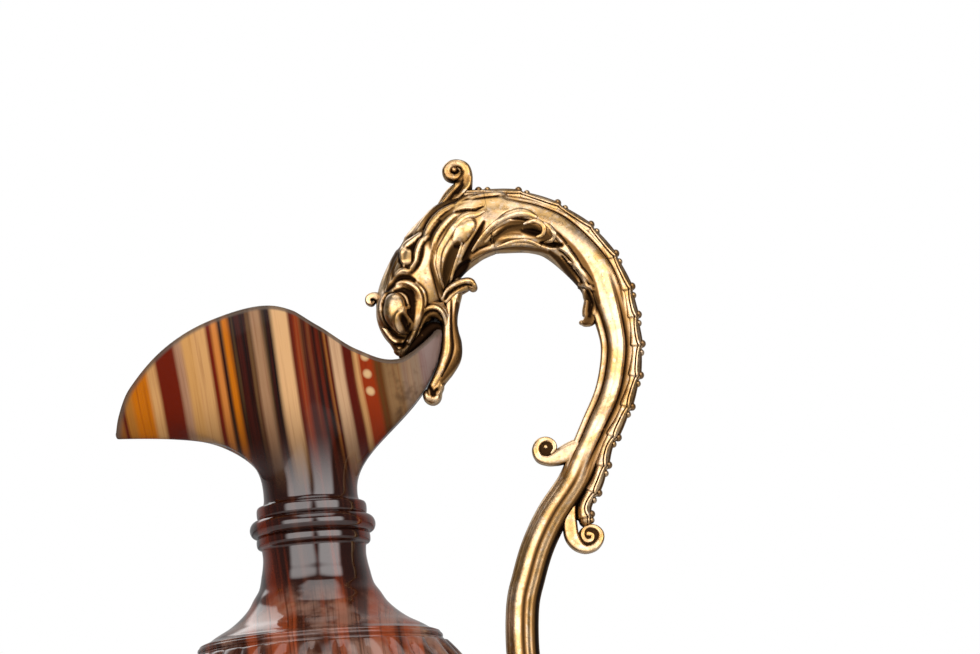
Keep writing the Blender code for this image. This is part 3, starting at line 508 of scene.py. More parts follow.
def agate(name, seed=0.0, rimmed=False):
    """Polished banded agate. The bands stand nearly upright across the ewer's length."""
    recipe = Recipe(bpy.data.materials.new(name))
    place = recipe.place()
    height = recipe.part(place, "Z")
    lean = recipe.times(recipe.minus(height, seen_at(lip_column, band_row).z), band_lean)
    wander = recipe.noise(recipe.place(wander_stretch), wander_scale + seed, 2.0)
    wander = recipe.times(recipe.minus(wander, 0.5), wander_reach)
    along = recipe.plus(recipe.plus(recipe.part(place, "X"), lean), wander)
    flattened = recipe.times(height, sheet_flatness)
    sheet = recipe.node("ShaderNodeCombineXYZ", {0: along, 2: flattened}).outputs[0]

    streaks = recipe.noise(sheet, streak_scale, 3.0, 0.7)
    veins = recipe.noise(sheet, vein_scale + seed, 2.0, 0.5)
    low_veins = recipe.noise(sheet, low_vein_scale + seed * 9, 3.0, 0.6)
    smudges = recipe.noise(place, smudge_scale, 3.0, 0.55)
    clouds = recipe.noise(place, cloud_scale, 4.0, 0.6)

    lip = banding(recipe, along)
    lip = recipe.tinted(lip, recipe.mix(0.75, lip, dark_red), streak_share, streaks, 0.46, 0.70)
    lip = recipe.tinted(lip, tan, vein_share, veins, 0.56, 0.70)
    lip = recipe.mix(recipe.times(eyes(recipe, along, height), eye_share), lip, eye_cream)
    tongue = recipe.between(along, *(band_place(column) for column in tongue_columns))
    lip = recipe.tinted(lip, tongue_brown, recipe.times(tongue, smudge_share), smudges, 0.46, 0.66)
    # The lip is darker towards its foot, up to two throat runs above the throat
    lip_darker_below = recipe.mix(lower_lip_share, lip, lower_lip_brown)
    clear = recipe.between(height, throat_height + throat_run * 0.5, throat_height + throat_run * 2.0)
    lip = recipe.mix(clear, lip_darker_below, lip)

    neck = recipe.mix(recipe.between(low_veins, 0.50, 0.66), neck_brown,
                      recipe.mix(0.55, neck_brown, bright_red))
    neck = recipe.mix(recipe.between(low_veins, 0.44, 0.36), neck, shoulder_brown)
    belly = recipe.mix(recipe.between(low_veins, 0.46, 0.58), shoulder_brown, shoulder_red)
    belly = recipe.tinted(belly, shoulder_grey, cloud_share, clouds, 0.46, 0.64)
    belly = recipe.tinted(belly, neck_brown, cloud_share, streaks, 0.50, 0.70)

    ring_base = throat_height - ring_height
    neck_part = recipe.between(height, ring_base - neck_length * 1.1, ring_base - neck_length * 0.5)
    lip_part = recipe.between(height, throat_height - throat_run * 0.2, throat_height + throat_run * 1.1)
    colour = recipe.mix(lip_part, recipe.mix(neck_part, belly, neck), lip)
    if rimmed:
        colour = recipe.mix(recipe.times(recipe.attribute("rim"), rim_share), colour, rim_grey)
    shine = recipe.plus(belly_shine, recipe.times(neck_part, neck_shine))
    shine = recipe.minus(shine, recipe.times(lip_part, lip_loss))
    wave = recipe.bump(recipe.noise(place, polish_scale, 2.0), 0.06, polish_wave)
    return recipe.finished({
        "Base Color": colour, "Roughness": stone_roughness, "IOR": stone_index,
        "Specular IOR Level": shine, "Normal": wave})


gold_pale = linear(226, 194, 152)
gold_deep = linear(190, 150, 92)
silver_worn = linear(224, 214, 202)
# Brown and near black of the low places: partly tarnish, partly painted shade
recess_brown = linear(30, 17, 8)
patina_and_shade_brown = linear(128, 92, 50)
tarnish = linear(92, 70, 52)
blue_tarnish = linear(136, 124, 114)
brown_tarnish = linear(140, 100, 50)

# Grain of the gilding, in cycles for each metre, and its small depths
patch_scale = 95.0
grain_scale = 520.0
stain_scale = 70.0
speck_scale = 1100.0
dent_scale = 900.0
dent_depth = 0.0004
stipple_scale = 2600.0
stipple_depth = 0.00012
occlusion_shade_reach = 0.0045
gilt_roughness = 0.20
grain_roughness = 0.22
low_roughness = 0.30


def gilding(name, recessed, wear, stipple):
    """Worn gilding over cast silver, darkened where it is low: partly tarnish, partly painted shade."""
    recipe = Recipe(bpy.data.materials.new(name))
    place = recipe.place()
    patches = recipe.noise(place, patch_scale, 4.0, 0.6, 0.6)
    grain = recipe.noise(place, grain_scale, 3.0, 0.6)
    stains = recipe.noise(place, stain_scale, 5.0, 0.7, 1.2)
    specks = recipe.noise(place, speck_scale, 3.0, 0.75)
    colour = recipe.mix(recipe.between(patches, 0.38, 0.62), gold_deep, gold_pale)
    colour = recipe.tinted(colour, silver_worn, wear, grain, 0.52, 0.70)
    colour = recipe.tinted(colour, blue_tarnish, 0.55, stains, 0.54, 0.66)
    colour = recipe.tinted(colour, brown_tarnish, 0.60, stains, 0.44, 0.34)
    colour = recipe.tinted(colour, tarnish, 0.60, specks, 0.56, 0.70)

    # Painted shade and tarnish: brown, then near black, where the surface is concave, dark by its recess
    # attribute, or occluded
    low = recipe.between(recipe.node("ShaderNodeNewGeometry").outputs["Pointiness"], 0.50, 0.44)
    if recessed:
        low = recipe.most(low, recipe.attribute("recess"))
    occlusion_shade = recipe.node("ShaderNodeAmbientOcclusion", {"Distance": occlusion_shade_reach}, samples=6)
    low = recipe.most(low, recipe.between(occlusion_shade.outputs["AO"], 0.86, 0.40))
    low = recipe.times(low, recipe.between(grain, 0.08, 0.36), clamp=True)
    colour = recipe.mix(recipe.between(low, 0.02, 0.62), colour, patina_and_shade_brown)
    colour = recipe.mix(recipe.between(low, 0.45, 1.0), colour, recess_brown)
    rough = recipe.plus(gilt_roughness, recipe.times(grain, grain_roughness))
    rough = recipe.plus(rough, recipe.times(low, low_roughness), clamp=True)
    dents = recipe.bump(recipe.noise(place, dent_scale, 4.0, 0.7), 0.10, dent_depth)
    return recipe.finished({
        "Base Color": colour, "Metallic": 1.0, "Roughness": rough,
        "Normal": recipe.bump(recipe.noise(place, stipple_scale, 2.0), stipple, stipple_depth, dents)})


def plain_look(name, colour, roughness, metallic, scale):
    """A plain surface with a fine grain, whose scale is in cycles for each metre."""
    recipe = Recipe(bpy.data.materials.new(name))
    grain = recipe.noise(recipe.place(), scale, 4.0)
    darker = tuple(channel * 0.6 for channel in colour[:3]) + (1.0,)
    return recipe.finished({
        "Base Color": recipe.mix(grain, darker, colour), "Roughness": roughness, "Metallic": metallic,
        "Normal": recipe.bump(grain, 0.3, dent_depth)})


stone_look = agate("banded_agate", 0.0, True)
bowl_look = agate("banded_agate_low", 3.0)
handle_gilt = gilding("gilt_cast", True, 0.45, 0.25)
curl_gilt = gilding("gilt_curls", False, 0.45, 0.35)
mount_gilt = gilding("gilt_turned", False, 0.25, 0.15)
mastic_look = plain_look("resin_mastic", linear(98, 74, 52), 0.8, 0.0, 900.0)
steel_look = plain_look("steel_rod", linear(180, 178, 172), 0.35, 1.0, 1200.0)
plate_look = plain_look("gilt_plate_dull", linear(190, 156, 104), 0.42, 1.0, 300.0)

# Turned stone
stone_turns = circle(columns)


def ring(radius, height, turns=stone_turns):
    """A level loop round the axis. The radius may change from point to point."""
    return np.stack([radius * np.cos(turns), radius * np.sin(turns), np.full(len(turns), height)], 1)


def gadroon_loop(radius, height, depth):
    """A loop over the lobes. Its grooves are sharp and its lobes round."""
    lobes = np.abs(np.sin(stone_turns * gadroon_count / 2)) ** 0.75
    return ring(radius - 2 * depth * (1 - lobes), height)


def belly_point(angle, upper, shrink=0.0):
    """Radius and height on the belly, by the angle from its top or from its bottom."""
    height = belly_rise if upper else -belly_depth
    radius = (belly_radius - shrink) * math.sin(angle)
    return radius, belly_height + (height - math.copysign(shrink, height)) * math.cos(angle)


# Lip: turn from tongue to spout, shares of reach, half width and rise, lean, pull
lip_shares = (
    (0.0, 1.000, 0.00, 0.870, 88, 0.45), (0.0625, 0.970, 0.20, 0.845, 84, 0.45),
    (0.125, 0.720, 0.39, 0.690, 62, 0.40), (0.25, 0.420, 0.69, 0.735, 60, 0.35),
    (0.375, 0.150, 0.92, 0.875, 70, 0.35), (0.5, -0.120, 1.00, 1.000, 78, 0.35),
    (0.625, -0.430, 0.90, 0.955, 72, 0.40), (0.75, -0.690, 0.67, 0.835, 58, 0.45),
    (0.875, -0.900, 0.36, 0.640, 38, 0.55), (0.9375, -0.970, 0.18, 0.500, 18, 0.62),
    (1.0, -0.995, 0.00, 0.392, 3, 0.70))
lip_rows = 40
lip_rim_steps = 9


def lip_station(turn):
    """Interpolates the lip's table smoothly. It is even about both ends, but for the width."""
    def mirrored(row, about):
        return (2 * about - row[0], row[1], -row[2], *row[3:])

    rows = [mirrored(lip_shares[1], 0), *lip_shares, mirrored(lip_shares[-2], 1)]
    for before, start, end, after in zip(rows, rows[1:], rows[2:], rows[3:]):
        if turn <= end[0]:
            break
    before, start, end, after = (np.array(row) for row in (before, start, end, after))
    span = end[0] - start[0]
    t = (turn - start[0]) / span
    slope_in = (end - before) / (end[0] - before[0]) * span
    slope_out = (after - start) / (after[0] - start[0]) * span
    return bend(t, start, end, slope_in, slope_out)[1:]


def lip_grid():
    """Rows of the lip's outer wall from the throat to the rim."""
    grid = np.zeros((lip_rows + 1, columns, 3))
    for column in range(columns):
        turn = 2 * column / columns
        side = 1 if turn <= 1 else -1
        reach, width, rise, lean, pull = lip_station(turn if turn <= 1 else 2 - turn)
        angle = math.pi * turn
        foot = np.array([throat_radius * math.cos(angle), throat_radius * math.sin(angle), throat_height])
        reach *= lip_back_reach if reach > 0 else lip_front_reach
        rim = np.array([reach, side * width * lip_half_width, throat_height + rise * lip_rise])
        outward = np.array([rim[0] - foot[0], rim[1] - foot[1], 0])
        outward /= np.linalg.norm(outward)
        lean = math.radians(lean)
        heading = outward * math.cos(lean) + np.array([0, 0, math.sin(lean)])
        first = foot + np.array([0, 0, throat_run])
        last = rim - heading * pull * np.linalg.norm(rim - foot)
        t = (np.arange(lip_rows + 1) / lip_rows)[:, None]
        grid[:, column] = ((1 - t)**3 * foot + 3 * t * (1 - t)**2 * first
                           + 3 * t**2 * (1 - t) * last + t**3 * rim)
    return grid


def inset(grid, first_inset, last_inset):
    """A grid of points set in from another, by a wall that changes from its first row to its last."""
    along = np.gradient(grid, axis=0)
    round_it = np.roll(grid, -1, 1) - np.roll(grid, 1, 1)
    wall = np.linspace(first_inset, last_inset, grid.shape[0])[:, None, None]
    return grid + unit(np.cross(along, round_it)) * wall


# Ring moulding: shares of its height from the bottom, and of its swell over the throat
ring_shares = (
    (0.000, 0.34), (0.025, 0.50), (0.055, 0.59), (0.100, 0.62), (0.160, 0.62), (0.200, 0.59),
    (0.212, 0.52), (0.222, 0.56), (0.235, 0.74), (0.270, 0.89), (0.320, 0.97), (0.375, 1.00),
    (0.430, 0.97), (0.480, 0.89), (0.520, 0.76), (0.545, 0.58), (0.556, 0.42), (0.570, 0.46),
    (0.610, 0.50), (0.680, 0.51), (0.745, 0.49), (0.785, 0.42), (0.800, 0.28), (0.815, 0.12),
    (0.870, 0.03), (0.940, 0.00))
neck_shares = (
    (0.000, 0.06), (0.000, 0.12), (0.014, 0.20), (0.033, 0.27), (0.080, 0.42), (0.170, 0.53),
    (0.257, 0.637), (0.390, 0.740), (0.545, 0.830), (0.700, 0.895), (0.790, 0.935), (0.850, 0.965))
# Shoulder ring: shares of its height from the bottom, and of land_step beside its radius
shoulder_shares = (
    (0.02, 0.60), (0.10, 0.62), (0.22, 0.55), (0.26, 0.20), (0.30, -0.10), (0.36, 0.00),
    (0.44, 0.20), (0.56, 0.28), (0.68, 0.20), (0.76, 0.00), (0.80, -0.35), (0.86, -0.45),
    (0.92, -0.40), (1.00, -0.62))
belly_start = math.asin(shoulder_radius / belly_radius)
lobe_depth = gadroon_depth * 1.15
upper_belly_rows = 56
lower_belly_rows = 44
inner_belly_rows = 24


def end_share(share):
    """How much of their depth the lobes have, from one end of the belly (0) to the other (1)."""
    return min(1.0, 6 * share + 0.25, 6 * (1 - share) + 0.25)


def upper_body():
    """Lip, neck, mouldings and upper belly in one hollow piece."""
    seat = girdle_level + girdle_web / 2 + gap
    land_top = girdle_level + girdle_height / 2
    land_radius = belly_radius - land_step
    bottom = math.pi / 2 + math.asin((belly_height - land_top - land_step / 2) / belly_depth)
    rows = [ring(land_radius, seat), ring(land_radius, land_top)]
    for step in range(upper_belly_rows + 1):
        share = step / upper_belly_rows
        angle = bottom + (belly_start - bottom) * share
        upper = angle <= math.pi / 2
        radius, level = belly_point(angle if upper else math.pi - angle, upper)
        rows.append(gadroon_loop(radius, level, lobe_depth * end_share(1 - share)))

    shoulder = belly_point(belly_start, True)[1]
    step_top = shoulder + shoulder_ring_height
    neck_top = throat_height - ring_height - throat_wall / 2
    neck_height = neck_top - step_top
    neck_flare = shoulder_ring_radius - neck_radius
    profile = [
        (shoulder_ring_radius + share * land_step / 2, shoulder + level * shoulder_ring_height)
        for level, share in shoulder_shares]
    profile += [
        (neck_radius + share * neck_flare, neck_top - level * neck_height)
        for share, level in reversed(neck_shares)]
    profile += [
        (throat_radius + share * (ring_radius - throat_radius),
         throat_height - (1 - level) * (throat_height - neck_top))
        for level, share in ring_shares]
    rows += [ring(radius, level) for radius, level in smooth_profile(profile, fine_step * 1.5)]

    outer = lip_grid()
    inner = inset(outer, throat_wall, lip_wall)
    rows += list(outer[:-1])
    crown = unit(outer[-1] - outer[-2]) * lip_wall * 0.30
    rim_start = len(rows)
    for angle in np.linspace(0, np.pi, lip_rim_steps):
        spread = math.cos(angle) * 0.5 + 0.5
        edge = inner[-1] * (1 - spread) + outer[-1] * spread
        rows.append(edge + crown * (math.sin(angle) - 1))
    rim_end = len(rows)
    rows += list(inner[:-1][::-1])

    bore = throat_radius - throat_wall
    rows.append(ring(bore, throat_height - ring_height))
    rows.append(ring(bore * 1.12, throat_height - ring_height - neck_length / 2))
    inner_start = belly_start - math.radians(9)
    for angle in np.linspace(inner_start, math.pi / 2, inner_belly_rows):
        rows.append(ring(*belly_point(angle, True, stone_wall)))
    rows.append(ring(belly_radius - stone_wall - land_step / 4, seat))
    piece = grid_piece("stone_upper_body", np.array(rows), stone_look, wrap_rows=True)
    rim = np.zeros((len(rows), columns))
    rim[rim_start:rim_end] = 1
    set_values(piece.data, "rim", rim)
    return dress(piece, "banded_agate", "upper_body")


def lower_bowl():
    """The lower half of the belly."""
    seat = girdle_level - girdle_web / 2 - gap
    land_base = girdle_level - girdle_height / 2
    land_radius = belly_radius - land_step
    top = math.acos((belly_height - land_base + land_step / 2) / belly_depth)
    foot = math.asin(cup_radius / belly_radius)
    rows = [ring(*belly_point(angle, False, stone_wall))
            for angle in np.linspace(0.06, top * 0.94, inner_belly_rows)]
    rows += [ring(land_radius - stone_wall + land_step, seat), ring(land_radius, seat),
             ring(land_radius, land_base)]
    for step in range(lower_belly_rows + 1):
        share = step / lower_belly_rows
        radius, level = belly_point(top + (foot + 0.07 - top) * share, False)
        rows.append(gadroon_loop(radius, level, lobe_depth * end_share(share)))
    rows += [ring(*belly_point(angle, False)) for angle in np.linspace(foot, 0.05, 10)]
    return dress(grid_piece("stone_lower_bowl", np.array(rows), bowl_look), "banded_agate", "lower_bowl")


def arc(centre, radius, first, last, count=9):
    """Points of a round moulding's outline, by angles in degrees."""
    return [(centre[0] + radius * math.cos(turn), centre[1] + radius * math.sin(turn))
            for turn in np.radians(np.linspace(first, last, count))]


upper_body()
lower_bowl()

# Handle: the same route as the solids take
head_shares = (
    (0.42, 0.805, 0.96), (0.22, 0.75, 1.00), (0.035, 0.63, 1.00), (-0.115, 0.455, 0.97),
    (-0.235, 0.25, 0.91), (-0.275, 0.085, 0.78), (-0.295, -0.045, 0.55), (-0.32, -0.145, 0.22))
bow_shares = (
    (0.40, 0.715, 1.00), (0.57, 0.672, 0.92), (0.705, 0.585, 0.865), (0.86, 0.375, 0.81),
    (0.932, 0.198, 0.75))
fall_shares = (
    (0.975, 0.027, 0.65), (0.962, 0.085, 0.62), (0.893, 0.163, 0.62), (0.780, 0.233, 0.60),
    (0.680, 0.292, 0.57))
rod_shares = (
    (0.588, 0.349, 0.98), (0.444, 0.413, 1.0), (0.334, 0.476, 1.0), (0.254, 0.540, 1.0),
    (0.194, 0.600, 1.0), (0.154, 0.691, 1.0), (0.150, 0.770, 1.0), (0.160, 0.850, 1.0),
    (0.182, 0.915, 0.98))


def handle_place(reach_share, drop_share):
    """A place on the handle, by shares of the bow's reach and of the drop from tongue to girdle."""
    drop = tongue_end.z - girdle_level
    line = tongue_end.x + (girdle_radius - tongue_end.x) * drop_share
    return (line + reach_share * bow_reach, 0, tongue_end.z - drop_share * drop)


def from_tongue(across, up):
    """A place on the head, by shares of its length from the end of the lip's tongue."""
    return (tongue_end.x + across * head_length, 0, tongue_end.z + up * head_length)


head_knots = [(*from_tongue(across, up), share * head_radius) for across, up, share in head_shares]
bow_knots = [
    (tongue_end.x + across * bow_reach, 0, tongue_end.z + up * bow_rise, share * bow_radius)
    for across, up, share in bow_shares]
fall_knots = [(*handle_place(across, drop), share * bow_radius) for across, drop, share in fall_shares]
rod_knots = [(*handle_place(across, drop), share * rod_bow_radius) for across, drop, share in rod_shares]
lug_seat = girdle_radius + lug_length + rod_bow_radius
lug_top = girdle_level + lug_half_height * 0.8
rod_knots.append((lug_seat, 0, lug_top + gap, rod_bow_radius * 0.9))
handle_line = smooth_line(head_knots[::-1] + bow_knots + fall_knots + rod_knots, fine_step)


def line_frames(line):
    """Headings and outer sides of a line in the handle's middle plane."""
    heading = unit(np.gradient(line[:, :3], axis=0))
    outer = np.stack([-heading[:, 2], np.zeros(len(line)), heading[:, 0]], axis=1)
    return heading, outer


def nearest_row(line, place):
    """The row of a line that lies nearest to a place."""
    return int(np.argmin(np.linalg.norm(line[:, :3] - np.array(place), axis=1)))


outer_side = line_frames(handle_line)[1]
seam_head = nearest_row(handle_line, head_knots[0][:3])
seam_bow = nearest_row(handle_line, fall_knots[-1][:3])
around = 208
elevations = circle(around)
near_side = np.array([0.0, -1.0, 0.0])
dome_rows = 7
web_sides = 48

# The head's thickness runs on evenly into the bow's
blend_rows = 110
rows_from_seam = np.arange(len(handle_line)) - seam_head
blend_share = np.clip(1 - np.abs(rows_from_seam) / blend_rows, 0, 1)
even_radius = np.convolve(handle_line[:, 3], np.ones(blend_rows) / blend_rows, "same")
handle_line[:, 3] += (even_radius - handle_line[:, 3]) * blend_share**2 * (3 - 2 * blend_share)


def blur(values, times):
    """Evens out a grid of values. Its columns run round."""
    for _ in range(times):
        padded = np.vstack([values[:1], values, values[-1:]])
        values = (padded[:-2] + padded[2:] + np.roll(values, 1, 1) + np.roll(values, -1, 1)
                  + 2 * values) / 6
    return values


# Relief of the handle. A stroke is a form, its lift in half widths, and its (column, row, half
# width) places as the camera sees the near side. The far side mirrors it. The darkening form
# raises nothing: it paints tarnish and shade into the gilding's colour.
pixel = (camera_target - camera_place).length / view_scale
cheek_strokes = (
    ("ridge", 0.85, ((396, 284, 2.0), (402, 282.5, 2.6), (410, 284, 3.2), (417, 290, 3.6),
                     (420, 301, 3.6), (418, 315, 3.2), (413.5, 329, 2.8), (408, 342, 2.2))),
    ("ridge", 0.70, ((416, 283, 1.2), (423, 291, 2.0), (425, 302, 2.0), (421, 312, 1.6))),
    ("ridge", 0.85, ((387, 292, 1.6), (380.5, 304, 2.2), (380, 318, 2.4), (385, 330, 2.6),
                     (393, 340, 2.4), (402, 343, 1.8))),
    ("boss", 0.50, ((395, 303, 9.5), (396, 313, 11.0), (400, 322, 9.0))),
    ("ridge", 0.95, ((411, 306, 1.2), (405, 309, 2.0), (399, 314, 2.4), (397.5, 322, 2.6),
                     (401, 330, 2.4), (408, 331, 2.2), (411.5, 324, 2.0), (408, 317, 1.4))),
    ("hollow", 0.90, ((403, 318, 2.6), (404.5, 322, 3.2), (405.5, 325, 2.4))),
    ("hollow", 0.65, ((395, 290, 2.0), (403, 289.5, 3.2), (410, 294, 3.8), (412.5, 303, 3.4),
                      (412, 312, 2.0))),
    ("hollow", 0.75, ((388, 292, 1.0), (383.5, 303, 1.4), (383.8, 317, 1.5), (388.6, 328, 1.6),
                      (396, 337, 1.6), (404, 339, 1.4))),
    ("hollow", 0.65, ((387, 291, 1.8), (392, 284, 3.0), (400, 277.5, 3.2), (409, 277, 2.4),
                      (415, 280, 1.4))),
    ("ridge", 0.60, ((396, 275, 1.4), (402, 270.5, 2.4), (410, 271, 2.0), (414, 266, 1.2))),
    ("patina_and_shade", 1.00, ((386, 293, 2.0), (391, 286, 3.6), (400, 278, 4.0), (409, 278, 3.0),
                      (416, 281, 1.6))),
    ("patina_and_shade", 0.95, ((396, 290, 2.0), (403, 290, 3.6), (410, 294, 4.4), (413, 303, 4.0),
                      (412, 312, 2.4))),
    ("patina_and_shade", 1.00, ((402, 315, 3.0), (404.5, 321, 4.2), (407, 329, 3.4))),
    ("patina_and_shade", 0.80, ((390, 327, 2.0), (397, 335, 3.0), (405, 338, 3.6), (410, 332, 3.0))),
    ("patina_and_shade", 0.80, ((385, 298, 1.2), (383.6, 310, 1.6), (386, 323, 1.8), (393, 334, 2.0),
                      (401, 340, 2.0))))
mouth_strokes = (
    ("ridge", 0.70, ((424, 309, 2.0), (418, 319, 2.8), (414, 331, 3.0), (408.5, 343, 3.2),
                     (402, 354, 2.8))),
    ("ridge", 0.60, ((420, 318, 1.4), (424, 311, 2.2), (430, 307.5, 2.6), (437, 308, 2.6),
                     (443, 314, 2.4), (446, 324, 2.2), (447, 336, 1.8))),
    ("ridge", 0.50, ((419, 334, 1.4), (421.5, 324, 2.0), (427, 316.5, 2.2), (434, 315, 2.2),
                     (440, 320, 1.8))),
    ("hollow", 0.50, ((411, 322, 1.2), (409, 335, 1.8), (403, 347, 1.6))),
    ("hollow", 0.70, ((399, 346, 2.2), (403, 345, 2.8))),
    ("hollow", 0.60, ((420, 326, 1.4), (424, 316, 1.6), (430, 311.5, 1.8), (437, 312, 1.6),
                      (442, 318, 1.2))),
    ("patina_and_shade", 1.00, ((399, 343, 2.6), (403, 346, 4.0), (407, 343, 2.6))),
    ("patina_and_shade", 0.70, ((419, 330, 2.4), (423, 320, 3.0), (430, 314, 3.6), (437, 315, 3.4),
                      (442, 323, 3.0))),
    ("patina_and_shade", 0.60, ((412, 318, 1.6), (410.5, 330, 1.8), (405, 342, 2.0))))
panel_strokes = (
    ("ridge", 0.70, ((404, 266, 1.4), (402, 256, 2.6), (406, 246, 3.2), (413, 240, 2.8),
                     (420, 234, 1.8))),
    ("boss", 0.40, ((407, 254, 5.5), (407, 260, 5.5))),
    ("ridge", 0.85, ((428, 236, 1.6), (421, 242, 2.6), (417, 252, 3.0), (416, 261, 2.8),
                     (411, 268, 2.0))),
    ("hollow", 0.60, ((423, 246, 1.0), (421, 256, 1.8), (417, 266, 1.8), (410, 274, 1.2))),
    ("hollow", 0.55, ((399, 262, 1.6), (398, 250, 2.0), (403, 241, 1.8), (412, 235, 1.2))),
    ("ridge", 0.70, ((437, 252, 1.4), (434, 264, 2.4), (437, 278, 2.6), (440, 291, 2.4),
                     (443, 303, 2.0))),
    ("hollow", 0.60, ((441, 262, 1.2), (441, 274, 2.0), (445, 288, 2.0), (447, 300, 1.4))),
    ("hollow", 0.45, ((390, 286, 1.2), (393, 270, 1.6), (400, 255, 1.4))),
    ("hollow", 0.45, ((384, 292, 1.0), (389, 272, 1.5), (397, 254, 1.5), (408, 238, 1.2))),
    ("patina_and_shade", 0.80, ((393, 276, 2.0), (392, 267, 3.2), (395, 256, 3.6), (401, 245, 2.8),
                      (408, 238, 1.8))),
    ("patina_and_shade", 0.85, ((424, 243, 1.6), (422, 256, 2.4), (417, 267, 2.6), (409, 275, 2.6))),
    ("patina_and_shade", 0.75, ((435, 244, 1.6), (431.5, 258, 2.2), (434, 275, 2.4), (440, 291, 2.6),
                      (445, 303, 1.6))),
    ("patina_and_shade", 0.45, ((387, 288, 1.4), (390, 270, 2.2), (400, 248, 2.6), (416, 229, 2.2))))
crown_strokes = (
    ("ridge", 0.60, ((424, 236, 1.4), (430, 224, 2.6), (440, 213, 2.8), (453, 205, 1.8))),
    ("ridge", 0.60, ((417, 230, 1.4), (425, 219, 2.2), (437, 207, 2.4), (450, 199, 1.6))),
    ("hollow", 0.70, ((423, 229, 1.2), (431, 216, 1.8), (443, 206, 1.8), (458, 199, 1.2))),
    ("hollow", 0.60, ((428, 240, 1.0), (433, 230, 1.6), (440, 221, 1.6))),
    ("ridge", 0.60, ((432, 250, 1.6), (435, 238, 2.6), (441, 228, 2.8), (450, 218, 2.2),
                     (460, 211, 1.4))),
    ("ridge", 0.55, ((455, 206, 1.4), (463, 198.5, 2.0), (474, 195, 1.6))),
    ("patina_and_shade", 0.80, ((421, 231, 2.0), (430, 218, 3.2), (442, 207, 4.0), (456, 200, 4.2),
                      (466, 196, 2.4))),
    ("patina_and_shade", 0.60, ((427, 241, 1.4), (433, 229, 2.4), (442, 219, 2.8), (452, 211, 2.0))))
arch_strokes = (
    ("ridge", 0.55, ((460, 203, 1.0), (482, 195.5, 1.8), (510, 193.5, 2.0), (535, 197, 1.6),
                     (548, 202, 1.0))),
    ("hollow", 0.75, ((466, 200, 0.9), (482, 197, 1.5), (498, 195.5, 1.3))),
    ("hollow", 0.70, ((524, 197, 0.9), (536, 200, 1.5), (548, 204, 1.2))),
    ("hollow", 0.60, ((476, 246, 1.2), (485, 236, 2.0), (496, 223, 2.0), (507, 213, 1.6),
                      (520, 209, 1.0))))
